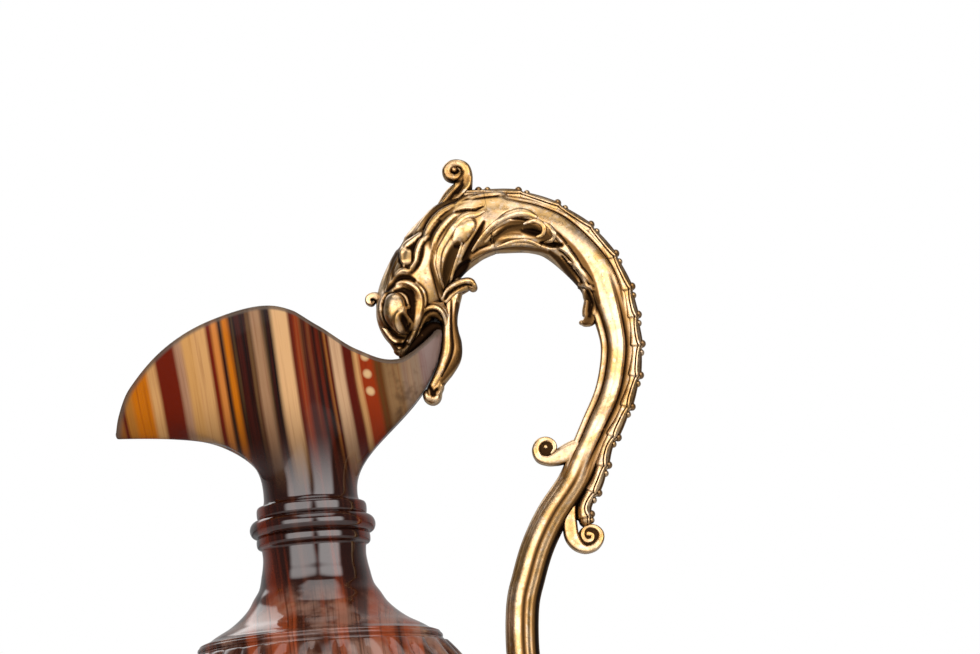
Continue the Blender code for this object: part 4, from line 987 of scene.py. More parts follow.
leaf_strokes = (
    ("hollow", 0.28, ((447, 284, 5.0), (450, 268, 7.5), (455, 252, 7.0), (460, 243, 5.0))),
    ("boss", 0.28, ((458, 240, 6.0), (463, 230, 9.0), (468, 225, 8.0))),
    ("hollow", 0.90, ((456, 212, 1.2), (464, 209.5, 2.0), (474, 209.5, 2.0), (483, 206, 1.2))),
    ("hollow", 0.75, ((484, 222, 1.4), (478, 234, 2.4), (471, 247, 2.8), (464, 260, 2.2))),
    ("hollow", 0.22, ((474, 254, 4.0), (488, 240, 7.0), (504, 231, 9.0), (520, 229, 9.0),
                      (534, 232, 6.0))),
    ("hollow", 0.90, ((512, 218.5, 1.2), (522, 218.5, 2.0), (534, 222, 1.6))),
    ("hollow", 0.80, ((527, 230, 3.0), (533, 231.5, 4.0), (539, 233, 2.8))),
    ("hollow", 0.90, ((542, 244, 2.4), (550, 245, 3.4), (558, 246, 2.0))),
    ("hollow", 0.80, ((456, 275, 3.0), (462, 267, 4.2), (467, 262, 2.6))),
    ("ridge", 0.60, ((452, 280, 1.4), (460, 268, 2.2), (470, 259, 2.4), (484, 251, 2.4),
                     (500, 246, 2.4), (518, 244, 2.2), (536, 246, 1.6))),
    ("ridge", 0.50, ((486, 243, 1.2), (496, 233, 1.8), (508, 226, 1.8), (520, 224, 1.2))),
    ("ridge", 0.50, ((492, 246, 1.2), (506, 238, 1.8), (522, 237, 1.6))),
    ("ridge", 0.75, ((548, 228, 1.4), (558, 237, 2.4), (567, 249, 2.6), (577, 264, 2.6),
                     (585, 280, 2.6), (591, 298, 2.2), (594, 314, 1.4))),
    ("ridge", 0.80, ((556, 246, 1.6), (565, 250, 2.8), (574, 260, 2.8), (575, 268, 2.0))),
    ("ridge", 0.80, ((568, 261, 1.4), (577, 266, 2.4), (586, 276, 2.6), (592, 284, 1.8))),
    ("ridge", 0.75, ((580, 284, 2.0), (588, 286, 2.6), (594, 290, 1.6))),
    ("hollow", 0.80, ((562, 257, 1.4), (572, 270, 2.2), (581, 282, 1.8))),
    ("hollow", 0.80, ((588, 292, 1.8), (591, 305, 2.6), (590, 316, 1.8))),
    ("ridge", 0.60, ((584, 290, 1.6), (586, 304, 2.0), (585, 315, 1.6))),
    ("patina_and_shade", 0.85, ((443, 291, 2.4), (446, 277, 6.0), (450, 263, 7.6), (454, 252, 6.6),
                      (458, 244, 4.0))),
    ("patina_and_shade", 1.00, ((451, 283, 2.6), (459, 274, 5.6), (465, 265, 5.0), (468, 260, 3.0))),
    ("patina_and_shade", 0.95, ((484, 222, 2.2), (479, 233, 4.0), (472, 246, 4.8), (465, 259, 4.0))),
    ("patina_and_shade", 0.90, ((455, 213.5, 1.4), (463, 211.5, 2.4), (473, 212, 2.4), (481, 214, 1.6))),
    ("patina_and_shade", 0.80, ((500, 234, 5.0), (512, 227, 7.6), (526, 227, 8.4), (540, 233, 8.0),
                      (549, 238, 5.0))),
    ("patina_and_shade", 1.00, ((523, 231, 3.4), (532, 233, 4.6), (541, 235, 3.2))),
    ("patina_and_shade", 0.55, ((468, 258, 1.8), (486, 250.5, 2.4), (512, 248, 2.4), (538, 250, 2.4),
                      (552, 254, 2.0))),
    ("patina_and_shade", 0.60, ((478, 248, 1.2), (492, 242, 1.5), (512, 239.5, 1.5), (530, 240, 1.2))),
    ("patina_and_shade", 1.00, ((541, 243, 2.4), (551, 243.5, 4.0), (562, 245, 2.6))),
    ("patina_and_shade", 0.80, ((550, 252, 2.4), (561, 262, 4.0), (571, 275, 4.4), (578, 289, 3.6),
                      (583, 303, 2.8))),
    ("patina_and_shade", 0.90, ((588, 291, 3.4), (591, 304, 4.8), (589, 318, 4.0))),
    ("patina_and_shade", 0.65, ((554, 231, 2.2), (569, 244, 3.6), (583, 261, 3.8), (593, 282, 3.6),
                      (599, 303, 2.6))))
handle_strokes = (
    cheek_strokes + mouth_strokes + panel_strokes + crown_strokes + arch_strokes + leaf_strokes)
recess_depth = 0.00018
chasing_depth = 1.45


def stroke_path(knots):
    """Dense places along a stroke, with the half width at each."""
    return smooth_line([(column, 0, row, width) for column, row, width in knots], 0.6)[:, [0, 2, 3]]


def stroke_relief(points, strokes):
    """How far strokes raise or sink points of the handle, and how much tarnish and painted shade they
    leave on them.
    """
    column, row = to_view(points)
    swell = np.zeros(len(points))
    raised = np.zeros(len(points))
    sunk = np.zeros(len(points))
    dark = np.zeros(len(points))
    for form, lift, knots in strokes:
        path = stroke_path(knots)
        reach = path[:, 2].max() * 1.3
        near = np.flatnonzero(
            (column > path[:, 0].min() - reach) & (column < path[:, 0].max() + reach)
            & (row > path[:, 1].min() - reach) & (row < path[:, 1].max() + reach))
        if not len(near):
            continue
        away = np.hypot(column[near, None] - path[None, :, 0], row[near, None] - path[None, :, 1])
        share = away / path[None, :, 2]
        best = np.argmin(share, axis=1)
        share = share[np.arange(len(near)), best]
        width = path[best, 2]
        round_form = np.clip(1 - share**2, 0, 1)
        # Painted shade and tarnish: darkens the colour only
        if form == "patina_and_shade":
            dark[near] = np.maximum(dark[near], lift * np.minimum(1, 1.6 * round_form))
        elif form == "hollow":
            sunk[near] = np.maximum(sunk[near], lift * width * round_form)
        elif form == "ridge":
            raised[near] = (raised[near]**4 + (lift * width * round_form**0.7)**4)**0.25
        else:
            swell[near] = np.maximum(swell[near], lift * width * np.sqrt(round_form))
    return (swell + raised - sunk) * pixel * chasing_depth, dark


# Mouldings of the bow and its lower part, and the dark of their flanks (painted shade, partly
# tarnish), as humps round the section: (angle from the flank, width, height) rows
upper_mouldings = ((49, 4.5, -0.09), (58, 5, 0.05), (68, 4, -0.06))
lower_mouldings = (
    (-8, 22, 0.10), (31, 10, -0.26), (44, 4, -0.08), (-46, 9, -0.20), (-64, 6, 0.05), (-74, 3, -0.05))
bow_patina_and_shade = ((-40, 14, 0.68), (34, 12, 0.74), (84, 18, 0.55))
rod_patina_and_shade = ((4, 10, 0.85), (60, 26, 0.98), (-88, 12, 0.60))


def lifts(turns):
    """Angles above the near or the far flank, in degrees, for one row of a grid."""
    return np.degrees(np.arcsin(np.sin(turns)))[None, :]


def section(line, bow_rows):
    """Relief of the handle's mouldings, which grow from the crown and run on down the rod."""
    share = (np.arange(len(line)) / bow_rows)[:, None]
    fade = rising(share[-1] - share, 0, 0.25)
    lower = rising(share, 0.40, 0.20)
    rod = rising(share, 0.95, 0.12)
    lift = lifts(elevations)
    return line[:, 3][:, None] * fade * rising(share, 0.02, 0.20) * (
        humps(lift, *upper_mouldings) * (1 - lower)
        + humps(lift, *lower_mouldings) * lower * (1 - rod * 0.75))


def moulding_patina_and_shade(line, bow_rows):
    """Painted shade, partly tarnish, on the flanks of the main moulding, on the fall of the bow and on
    the rod.
    """
    share = (np.arange(len(line)) / bow_rows)[:, None]
    rod = rising(share, 0.95, 0.15)
    lift = lifts(elevations)
    return rising(share, 0.36, 0.20) * (
        humps(lift, *bow_patina_and_shade) * (1 - rod) + humps(lift, *rod_patina_and_shade) * rod)


def grid_normals(grid):
    """Outward directions over a grid of rings. The last column runs on into the first."""
    along = np.gradient(grid, axis=0)
    round_it = np.roll(grid, -1, 1) - np.roll(grid, 1, 1)
    normal = np.cross(round_it, along)
    normal /= np.maximum(np.linalg.norm(normal, axis=2, keepdims=True), least_length)
    middle = grid.mean(axis=1, keepdims=True)
    outward = np.sign(((grid - middle) * normal).sum(axis=(1, 2)))[:, None, None]
    return normal * outward


def swept(line, width_share, count):
    """Rings round a line in the middle plane. The first column is the near flank."""
    turn = circle(count)
    outer = line_frames(line)[1]
    width = np.broadcast_to(np.asarray(width_share, dtype=float), (len(line),))[:, None, None]
    across = near_side * np.cos(turn)[None, :, None] * width
    up = outer[:, None, :] * np.sin(turn)[None, :, None]
    return line[:, None, :3] + line[:, 3][:, None, None] * (across + up)


def seen_line(knots):
    """A smooth line in the middle plane through (column, row, half thickness) knots."""
    return smooth_line([(*seen_at(column, row), half * pixel) for column, row, half in knots], fine_step)


def plate(line, half_width, count=40, squareness=0.55):
    """Rings of a flat plate along a line, with rounded edges. The half width is across it, in Y."""
    turn = circle(count)
    flat = np.sign(np.cos(turn)) * np.abs(np.cos(turn)) ** squareness
    rise = np.sign(np.sin(turn)) * np.abs(np.sin(turn)) ** squareness
    outer = line_frames(line)[1]
    half_width = np.minimum(half_width, line[:, 3] * 2.2)[:, None, None]
    across = near_side * flat[None, :, None] * half_width
    up = outer[:, None, :] * rise[None, :, None] * line[:, 3][:, None, None]
    return line[:, None, :3] + across + up


def domed(grid, first=True, last=True):
    """A grid of rings with its ends rounded off."""
    rows = [grid]
    for end, beyond, wanted in ((0, 1, first), (-1, -2, last)):
        if not wanted:
            continue
        middle = grid[end].mean(axis=0)
        ahead = unit(middle - grid[beyond].mean(axis=0))
        reach = np.linalg.norm(grid[end] - middle, axis=1).mean() * 0.7
        cap = [middle + (grid[end] - middle) * math.cos(turn) + ahead * reach * math.sin(turn)
               for turn in np.linspace(0, np.pi / 2, dome_rows + 1)[1:] - 0.01]
        rows = [np.array(cap[::-1]), *rows] if end == 0 else [*rows, np.array(cap)]
    return np.concatenate(rows)


def recessed(relief, depth, times):
    """How deep points lie below what is round them, up to 1."""
    return np.clip((blur(relief, times) - relief) / depth, 0, 1)


def carve(grid, strokes, extra=0.0):
    """A grid raised and sunk by strokes on both its flanks, and how dark its points are painted: their
    depth below what is round them, or the strokes' tarnish and painted shade, whichever is more.
    """
    near = grid.reshape(-1, 3).copy()
    near[:, 1] = -np.abs(near[:, 1])
    relief, dark = stroke_relief(near, strokes)
    relief = blur(relief.reshape(grid.shape[:2]) + extra, 1)
    recess = np.maximum(recessed(relief, recess_depth, 24), blur(dark.reshape(grid.shape[:2]), 3))
    return grid + grid_normals(grid) * relief[:, :, None], recess


def gilt_piece(name, grid, recess):
    """A piece of worn gilding over a grid, with how much tarnish and painted shade each point takes."""
    piece = grid_piece(name, grid, handle_gilt)
    set_values(piece.data, "recess", recess)
    return piece


def cut_by(piece, *tools):
    """Cuts tools out of a piece and removes them."""
    for tool in tools:
        difference = piece.modifiers.new("cut", "BOOLEAN")
        difference.solver = "EXACT"
        difference.object = tool
    evaluated = piece.evaluated_get(bpy.context.evaluated_depsgraph_get())
    old = piece.data
    piece.data = bpy.data.meshes.new_from_object(evaluated)
    piece.modifiers.clear()
    bpy.data.meshes.remove(old)
    for tool in tools:
        bpy.data.objects.remove(tool)


# Head: the sweep, swollen by the two cheek bosses, carved, and cut open at the mouth
cheek_place_shares = (-0.300, 0.165)
cheek_offset_share = 0.46
cheek_radius_shares = (0.58, 0.48, 0.72)
mouth_shares = (
    (-0.300, -0.260), (-0.245, -0.135), (-0.178, -0.045), (-0.143, 0.030), (-0.070, 0.070),
    (0.005, 0.050), (0.068, -0.030), (0.068, -0.260))


def swollen(grid, line):
    """A sweep with the cheek bosses added: each point moves out to the farther surface."""
    axis = line[:, None, :3]
    out = grid - axis
    reach = np.linalg.norm(out, axis=2)
    heading = out / reach[:, :, None]
    spread = np.array(cheek_radius_shares) * head_radius
    for side in (-1, 1):
        offset = np.array([0, side * cheek_offset_share * head_radius, 0])
        boss = from_tongue(*cheek_place_shares) + offset
        start = (axis - boss) / spread
        step = heading / spread
        half = (start * step).sum(axis=2)
        square = (step**2).sum(axis=2)
        inside = half**2 - square * ((start**2).sum(axis=2) - 1)
        hit = np.where(inside > 0, (np.sqrt(np.maximum(inside, 0)) - half) / square, 0)
        hit = np.maximum(hit, 0)
        reach = (reach**14 + hit**14) ** (1 / 14)
    return axis + heading * reach[:, :, None]


def mouth_tool():
    """A prism that opens the mouth from side to side."""
    outline = smooth_line([from_tongue(across, up) for across, up in mouth_shares], head_length / 30)
    flank = np.array([0, head_radius * 1.5, 0])
    rings = np.stack([outline - flank, outline + flank])
    return grid_piece("mouth_tool", rings, handle_gilt)


def lip_tool():
    """The stone of the lip, which the jaws are fitted over."""
    outer = lip_grid()[::4, ::4]
    inner = inset(outer, throat_wall + gap, lip_wall + gap)
    outer = inset(outer, -gap, -gap)
    return grid_piece("lip_tool", np.concatenate([outer, inner[::-1]]), handle_gilt, wrap_rows=True)


def head():
    """The skull with its open mouth, the rolled band of its lips, and the palate."""
    line = handle_line[:seam_head + 1]
    grid = swollen(swept(line, handle_width_share, around), line)
    skull = gilt_piece("skull", *carve(domed(grid, last=False), handle_strokes))
    cut_by(skull, mouth_tool(), lip_tool())
    band = domed(plate(seen_line(mouth_knots), mouth_half_width, 120, 0.8))
    palate = domed(plate(seen_line(palate_knots), palate_half_width, 40, 0.8))
    band = gilt_piece("mouth_band", *carve(band, handle_strokes))
    # The palate is painted fully dark: painted shade inside the mouth
    palate = gilt_piece("palate", palate, 1)
    piece = merged("dragon_head_cast", [skull, band, palate], handle_gilt)
    return dress(piece, "gilt_handle", "dragon_head")


def bow_and_rod():
    """The bow of the handle and the rod below it, which run on from each other."""
    line = handle_line[seam_head:]
    bow_rows = seam_bow - seam_head
    run_out = rising(np.arange(len(line)) / bow_rows, 0.80, 0.35)
    width = handle_width_share + (1 - handle_width_share) * run_out
    grid, recess = carve(swept(line, width, around), handle_strokes, section(line, bow_rows))
    recess = np.maximum(recess, moulding_patina_and_shade(line, bow_rows))
    bow = gilt_piece("handle_arch_cast", grid[:bow_rows + 1], recess[:bow_rows + 1])
    dress(gilt_piece("tail_rod_cast", grid[bow_rows:], recess[bow_rows:]), "gilt_handle", "tail_rod")
    return dress(bow, "gilt_handle", "handle_arch")


# Free pieces of the handle, as (column, row, half thickness) knots
jaw_knots = (
    (457, 283, 6.0), (455, 292, 7.8), (452.5, 304, 7.6), (451, 317, 6.8), (450.8, 330, 7.4),
    (452, 344, 10.0), (450.8, 357, 10.8), (446, 369, 9.2), (439.5, 380, 7.4), (434.5, 389, 6.8),
    (432, 396, 7.4))
jaw_strokes = (
    ("ridge", 0.35, ((446.5, 298, 3.0), (446, 315, 4.4), (446, 332, 4.6), (446, 348, 5.0),
                     (443, 362, 4.6), (437, 376, 3.6), (431, 387, 2.4))),
    ("hollow", 0.30, ((451.5, 300, 1.2), (451.5, 318, 1.8), (452, 335, 2.2), (452.5, 350, 2.6),
                      (448, 364, 2.2), (442, 376, 1.6))),
    ("ridge", 0.22, ((455, 300, 1.8), (454.5, 318, 2.2), (457, 336, 2.6), (459, 350, 2.6))),
    ("ridge", 0.60, ((442, 386, 2.0), (440, 395, 3.0), (434, 401, 3.4), (427, 398, 2.8),
                     (425, 391, 2.0))),
    ("hollow", 0.60, ((430, 388, 1.6), (433, 394, 2.4), (437, 390, 1.6))),
    ("patina_and_shade", 0.55, ((451.5, 300, 1.6), (451.5, 318, 2.2), (452, 335, 2.6), (452, 350, 2.8),
                      (446, 366, 2.4))),
    ("patina_and_shade", 0.75, ((457, 304, 3.0), (456, 320, 3.6), (458, 336, 4.6), (460, 350, 5.4),
                      (455, 362, 4.6), (448, 372, 3.6), (441, 381, 2.4))),
    ("patina_and_shade", 0.70, ((441.5, 312, 1.4), (442, 335, 1.6), (441, 352, 1.6), (437, 368, 1.6))),
    ("patina_and_shade", 0.95, ((430, 386, 2.4), (433, 393, 3.2), (437, 389, 2.2))))
mouth_knots = (
    (401.5, 356, 2.6), (406, 350, 4.4), (410.5, 343, 5.6), (414.2, 335, 6.6), (417.4, 325, 7.6),
    (424, 315, 8.6), (433.5, 310.5, 9.4), (442, 314, 8.2), (446.5, 322.5, 6.0), (448.4, 334, 4.2),
    (449, 346, 3.0))
throat_knots = (
    (444, 301, 6.5), (448.5, 295, 7.4), (455, 289.0, 7.0), (463, 285.2, 6.2), (469, 284.4, 5.4),
    (472.5, 287, 4.6))
throat_strokes = (
    ("ridge", 0.60, ((441, 298, 1.8), (447, 290, 2.6), (455, 284.5, 2.8), (464, 281, 2.8),
                     (471, 281, 2.4), (475, 285.5, 1.8))),
    ("ridge", 0.55, ((446, 303, 1.6), (452, 295, 2.2), (460, 290, 2.4), (467, 288.5, 1.8))),
    ("hollow", 0.70, ((445, 299, 1.2), (450, 292.5, 1.8), (458, 287.5, 1.8), (466, 285, 1.6),
                      (471, 286, 1.2))),
    ("patina_and_shade", 0.80, ((445, 299, 1.6), (450, 292.5, 2.2), (458, 287.5, 2.2), (466, 285, 2.0),
                      (471, 286, 1.4))))
brow_knots = (
    (387, 302, 7.0), (380, 298.5, 5.2), (374, 296.5, 4.0), (369.2, 298.2, 3.6), (368.6, 302, 3.2),
    (371.6, 304.0, 2.6), (374.0, 302.6, 2.0))
crown_knots = (
    (449, 209, 12.5), (455.5, 199, 12.6), (461.5, 190.5, 10.6), (464.8, 182.5, 8.2),
    (466.6, 174.8, 6.0), (464.6, 168.0, 5.2), (458.8, 164.8, 4.6), (451.8, 165.6, 4.8),
    (447.2, 170.6, 5.0), (448.4, 176.4, 4.8), (454, 178.8, 4.2), (459, 176.0, 3.2),
    (460.6, 171.4, 2.4), (457.4, 168.6, 2.6), (454.2, 170.6, 3.8))
crown_curl_strokes = (
    ("ridge", 0.60, ((470.5, 176, 1.4), (469, 184, 2.2), (464, 191, 2.4), (457, 198, 2.2),
                     (449, 206, 1.4))),
    ("ridge", 0.50, ((456, 184, 1.4), (454, 190, 2.2), (448, 197, 2.4), (441, 205, 1.6))),
    ("hollow", 0.60, ((463, 180, 1.4), (460, 188, 2.2), (453, 195, 2.4), (446, 203, 1.6))),
    ("patina_and_shade", 0.85, ((463, 178, 2.0), (460.5, 187, 3.0), (454, 194, 3.4), (446, 203, 2.4))),
    ("patina_and_shade", 0.90, ((448, 179, 1.6), (454, 182, 2.6), (459, 181, 2.2))),
    ("patina_and_shade", 0.80, ((463.5, 171, 1.6), (462.5, 174, 2.0), (460, 176.5, 1.4))))
inner_scroll_knots = (
    (584, 450, 13.0), (574, 452.5, 12.0), (565, 455, 9.8), (556, 459, 7.0), (548, 461, 4.9),
    (539.5, 458.5, 4.3), (535.9, 450.5, 4.0), (539, 442.8, 3.5), (546, 439.9, 2.9),
    (552.5, 442.8, 2.8), (554.6, 449, 2.6), (550.8, 454.4, 2.2), (545.2, 453.8, 1.8),
    (542.8, 449.4, 1.8), (545.6, 447.4, 2.6))
outer_scroll_knots = (
    (584, 466, 7.0), (578.5, 482, 6.6), (572, 499, 6.2), (569.6, 512, 6.9), (570.0, 525, 7.4),
    (572, 537, 7.4), (577.5, 545.5, 6.0), (586, 549.8, 4.0), (595, 547, 3.8), (600.4, 540, 3.5),
    (600.8, 533, 3.0), (596, 527.8, 2.6), (588.6, 526.6, 2.4), (583.6, 530.4, 2.4),
    (582.8, 536.4, 2.6), (586.4, 541.2, 2.8), (591.6, 540.2, 2.6), (592.4, 535.4, 2.4),
    (588.2, 534.2, 3.0))
spur_knots = (
    (593, 294, 8.0), (592, 304, 8.6), (591.2, 312, 9.2), (589, 319.5, 7.4), (585, 322.6, 4.4),
    (581.8, 322.8, 2.4))
spur_strokes = (
    ("hollow", 0.50, ((590, 298, 2.0), (590, 308, 3.0), (589.5, 316, 2.4))),
    ("patina_and_shade", 0.80, ((591, 297, 4.0), (591, 308, 6.4), (589.5, 318, 5.4), (585, 323, 3.0))))
jaw_half_width = 0.0036
throat_half_width = 0.0043
mouth_half_width = 0.0074
palate_half_width = 0.0042
palate_knots = (
    (404, 356, 3.0), (409, 352, 4.6), (414.5, 346.5, 5.8), (421, 339.5, 6.6), (427, 333, 6.6),
    (433.5, 328.5, 6.2), (439, 329, 5.0), (442.5, 335, 3.4), (443, 347, 2.2), (441, 361, 1.8))
crown_half_width = 0.0029
scroll_half_width = 0.0027
spur_half_width = 0.0022


def scroll_web(column, row, reach, half_width):
    """The sunk floor between the turns of a scroll."""
    centre = np.array(seen_at(column, row))
    turn = circle(web_sides)
    rim = np.stack([np.cos(turn), np.zeros(web_sides), np.sin(turn)], axis=1) * reach * pixel
    flank = np.array([0, half_width, 0])
    rings = np.stack([centre - flank + rim * 0.9, centre - flank * 0.9 + rim,
                      centre + flank * 0.9 + rim, centre + flank + rim * 0.9])
    # The web is painted almost fully dark: painted shade, with some tarnish, in the hollow of the scroll
    return gilt_piece("web", rings, 0.9)


def free_piece(name, knots, half_width, node, strokes=(), squareness=0.55, count=48, webs=()):
    """A plate along knots, carved on both faces, with its webs."""
    grid, recess = carve(domed(plate(seen_line(knots), half_width, count, squareness)), strokes)
    piece = gilt_piece(name, grid, recess)
    if webs:
        piece = merged(name, [piece, *(scroll_web(*web) for web in webs)], handle_gilt)
    return dress(piece, "gilt_handle", node)


def jaws():
    """The lower jaw and the curl at the throat."""
    free_piece("lower_jaw_cast", jaw_knots, jaw_half_width, "lower_jaw", jaw_strokes, 0.85, 96)
    free_piece("throat_curl_cast", throat_knots, throat_half_width, "throat_curl", throat_strokes,
               0.8, 64)


def curls():
    """The scrolls of the head and of the foot of the bow, and the leaf point inside the bow."""
    web_half_width = scroll_half_width * 0.55
    free_piece("brow_curl_cast", brow_knots, scroll_half_width * 0.7, "brow_curl")
    free_piece("crown_curl_cast", crown_knots, crown_half_width, "crown_curl", crown_curl_strokes,
               0.7, 64, webs=((455, 171.6, 6.0, scroll_half_width * 0.35),))
    free_piece("inner_scroll_cast", inner_scroll_knots, scroll_half_width, "inner_scroll",
               webs=((546, 449.5, 9.0, web_half_width),))
    free_piece("outer_scroll_cast", outer_scroll_knots, scroll_half_width, "outer_scroll",
               webs=((589, 537, 11.0, web_half_width),))
    free_piece("arch_spur_cast", spur_knots, spur_half_width, "arch_spur", spur_strokes, 0.8)


# Crest: a strip of scales along the outer side, with bead pairs where the scales meet
strip_radius = 0.0024
strip_width_share = 1.60
strip_seat_share = -0.20
crest_first = nearest_row(handle_line, seen_at(467, 199))
bead_radius = 0.00118
bead_spacing = 0.0027
crest_end_knots = ((598, 478), (589, 496), (584, 509), (585.5, 521))
bead_places = (
    (482, 184), (523, 188), (563, 202), (596, 225), (620, 256), (635, 290), (641, 318), (642, 348),
    (640, 379), (631, 411), (619, 442), (607, 469), (594, 495), (586, 519))
crest_sides = 96
crest_step = 40


def ball(segments, rings):
    """Points and faces of a small ball of radius 1, to be stretched and repeated."""
    bm = bmesh.new()
    bmesh.ops.create_uvsphere(bm, u_segments=segments, v_segments=rings, radius=1)
    points = np.array([vert.co for vert in bm.verts])
    faces = [[vert.index for vert in face.verts] for face in bm.faces]
    bm.free()
    return points, faces


def crest():
    """The strip of scales, thick towards the end of each, with its pairs of beads."""
    outward = outer_side[crest_first:seam_bow + 1:crest_step]
    seated = handle_line[crest_first:seam_bow + 1:crest_step]
    seated = seated[:, :3] + outward * (seated[:, 3:] + strip_radius * strip_seat_share)
    knots = [*seated, *(seen_at(column, row) for column, row in crest_end_knots)]
    line = smooth_line([(*knot, strip_radius) for knot in knots], fine_step)
    travelled = np.concatenate([[0], np.cumsum(np.linalg.norm(np.diff(line[:, :3], axis=0), axis=1))])
    joints = np.array([travelled[nearest_row(line, seen_at(*place))] for place in bead_places])
    joints = np.concatenate([joints, [joints[-1] * 2 - joints[-2]]])
    after = np.clip(np.searchsorted(joints, travelled, side="right"), 1, len(joints) - 1)
    share = rising(travelled, joints[after - 1], joints[after] - joints[after - 1])
    swell = blur((0.84 + 0.24 * share ** 1.5)[:, None], 3)[:, 0]
    line[:, 3] *= swell

    lift = lifts(circle(crest_sides))
    grid = swept(line, strip_width_share / swell ** 0.5, crest_sides)
    pinch = np.abs(2 * share - 1)[:, None] ** 2.4
    lower_edge = 4 + 20 * pinch
    upper_edge = 62 - 14 * pinch
    groove = humps(lift, (lower_edge, 5, -0.20), (upper_edge, 4, -0.16), (lower_edge + 9, 4, 0.07))
    relief = blur(strip_radius * groove, 2)
    # Painted shade and tarnish in the grooves of the scales, and painted shade over the outer side of
    # each scale between its joints
    recess = recessed(relief, recess_depth * 0.6, 14)
    recess = np.maximum(recess, 0.60 * rising(lift, 38, 10) * (1 - pinch))
    recess = np.pad(recess, ((dome_rows, dome_rows), (0, 0)), "edge")
    pieces = [gilt_piece("strip", domed(grid + grid_normals(grid) * relief[:, :, None]), recess)]

    outer = line_frames(line)[1]
    points, faces = ball(24, 16)
    for joint in joints[:-1]:
        for offset, size, worn in ((-bead_spacing / 2, 1.0, 0.45), (bead_spacing / 2, 0.88, 0.10)):
            row = min(int(np.searchsorted(travelled, joint + offset)), len(line) - 1)
            seat = line[row, :3] + outer[row] * line[row, 3] * 0.86
            mesh = bpy.data.meshes.new("bead")
            mesh.from_pydata((points * bead_radius * size * (1, 2.2, 1) + seat).tolist(), [], faces)
            set_values(mesh, "recess", worn)
            pieces.append(bpy.data.objects.new("bead", mesh))
    return dress(merged("spine_crest_cast", pieces, handle_gilt), "gilt_handle", "spine_crest")


# Rims of the leaves: strands that stand proud of the flanks, as (column, row, half width)
leaf_rims = (
    ((472, 251, 1.4), (480, 240, 2.6), (489, 229, 3.2), (499, 220.5, 3.6), (509, 215, 4.2),
     (519, 212.5, 4.8), (528, 213.5, 4.4), (536, 217, 2.2)),
    ((524, 224, 1.2), (531, 221, 2.4), (539, 222, 2.8), (544, 227, 2.8), (543, 234, 2.4),
     (537, 237, 1.6)),
    ((541, 222, 1.4), (549, 226, 2.6), (554, 233, 2.8), (552, 240, 2.4), (545, 242, 1.6)),
    ((497, 247, 1.2), (512, 242, 2.2), (527, 241, 2.4), (540, 246, 1.8)))
fore_leaf_rims = (
    ((445, 292, 1.4), (440.5, 279, 2.6), (438.5, 265, 3.2), (440, 251, 3.6), (446, 239, 3.8),
     (452, 229, 4.2), (459, 220, 4.6), (467, 215.5, 4.4), (476, 214.5, 3.4), (484, 211, 1.6)),
    ((449, 288, 1.2), (452, 275, 1.6), (456, 262, 1.8), (460, 250, 1.6), (462, 243, 1.0)))
rim_sides = 14
strand_blurs = 12
strand_points = 6


def read_rows(values, name):
    """Rows of three numbers, one for each point of a mesh."""
    rows = np.empty(len(values) * 3, dtype=np.float32)
    values.foreach_get(name, rows)
    return rows.reshape(-1, 3).astype(float)


def flank_cloud(pieces):
    """Places and outward directions on the near flank, and where the camera sees them."""
    places = np.concatenate([read_rows(piece.data.vertices, "co") for piece in pieces])
    outwards = np.concatenate([read_rows(piece.data.vertex_normals, "vector") for piece in pieces])
    near = outwards[:, 1] < -0.1
    return places[near], outwards[near], np.stack(to_view(places[near]), axis=1)


def strand(cloud, knots):
    """Rings of a tapering strand laid on the near flank."""
    places, outwards, seen = cloud
    path = stroke_path(knots)
    laid = []
    for column, row, _ in path:
        nearest = np.argsort(np.hypot(seen[:, 0] - column, seen[:, 1] - row))[:strand_points]
        laid.append((places[nearest].mean(axis=0), outwards[nearest].mean(axis=0)))
    laid = np.array(laid)
    for _ in range(strand_blurs):
        laid[1:-1] = (laid[:-2] + 2 * laid[1:-1] + laid[2:]) / 4
    middle = laid[:, 0]
    side = unit(laid[:, 1])
    across = unit(np.cross(unit(np.gradient(middle, axis=0)), side))
    turn = circle(rim_sides)[None, :, None]
    half = (path[:, 2] * pixel)[:, None, None]
    return (middle[:, None] + half * (across[:, None] * np.cos(turn)
                                      + side[:, None] * (np.sin(turn) * 0.75 - 0.05)))


def leaf(name, node, rims, cloud, side):
    """The rims of one leaf. The side is 1 near the camera and -1 beyond."""
    pieces = [gilt_piece("rim", domed(strand(cloud, knots)) * (1, side, 1), 0) for knots in rims]
    return dress(merged(name, pieces, handle_gilt), "gilt_handle", node)


head_piece = head()
arch_piece = bow_and_rod()
flanks = flank_cloud((head_piece, arch_piece))
for suffix, side in (("near", 1), ("far", -1)):
    leaf("leaf_rims_" + suffix, "leaf_" + suffix, leaf_rims, flanks, side)
    leaf("fore_leaf_rims_" + suffix, "fore_leaf_" + suffix, fore_leaf_rims, flanks, side)
jaws()
curls()
crest()

# Turned mounts, with their beads, lobes and reeds
mount_columns = 768
mount_turns = circle(mount_columns)
reed_count = 84
reed_depth = 0.00035
reed_slant = 2.6
cup_lobes = 16
cup_lobe_depth = 0.0011
girdle_bead_radius = 0.00062
collar_bead_radius = 0.00050
rim_bead_radius = 0.00075
bead_pitch_share = 2.05
bore_radius = rod_radius + gap
plate_thickness = 0.0022
lug_half_width = 0.0042
rivet_radius = 0.0010
tail_scroll_radius = 0.0042
rivet_sides = 32
centre_radius = 0.0001
girdle_rows = 26
ogee_rows = 14
plate_grooves = 9
foot_edge = foot_radius - foot_rim_width / 3
dome_rise = dome_top - foot_rim_height - gap
dome_ceiling = dome_top - dome_rise * 0.42 - foot_wall
arm_end = lug_seat + rod_bow_radius * 0.9
arm_base = girdle_level - lug_half_height * 0.8
volute_rows = 41
volute_turns = 1.35


def mount_loop(radius, height):
    """A loop of a mount. The radius may change from point to point."""
    return ring(radius, height, mount_turns)


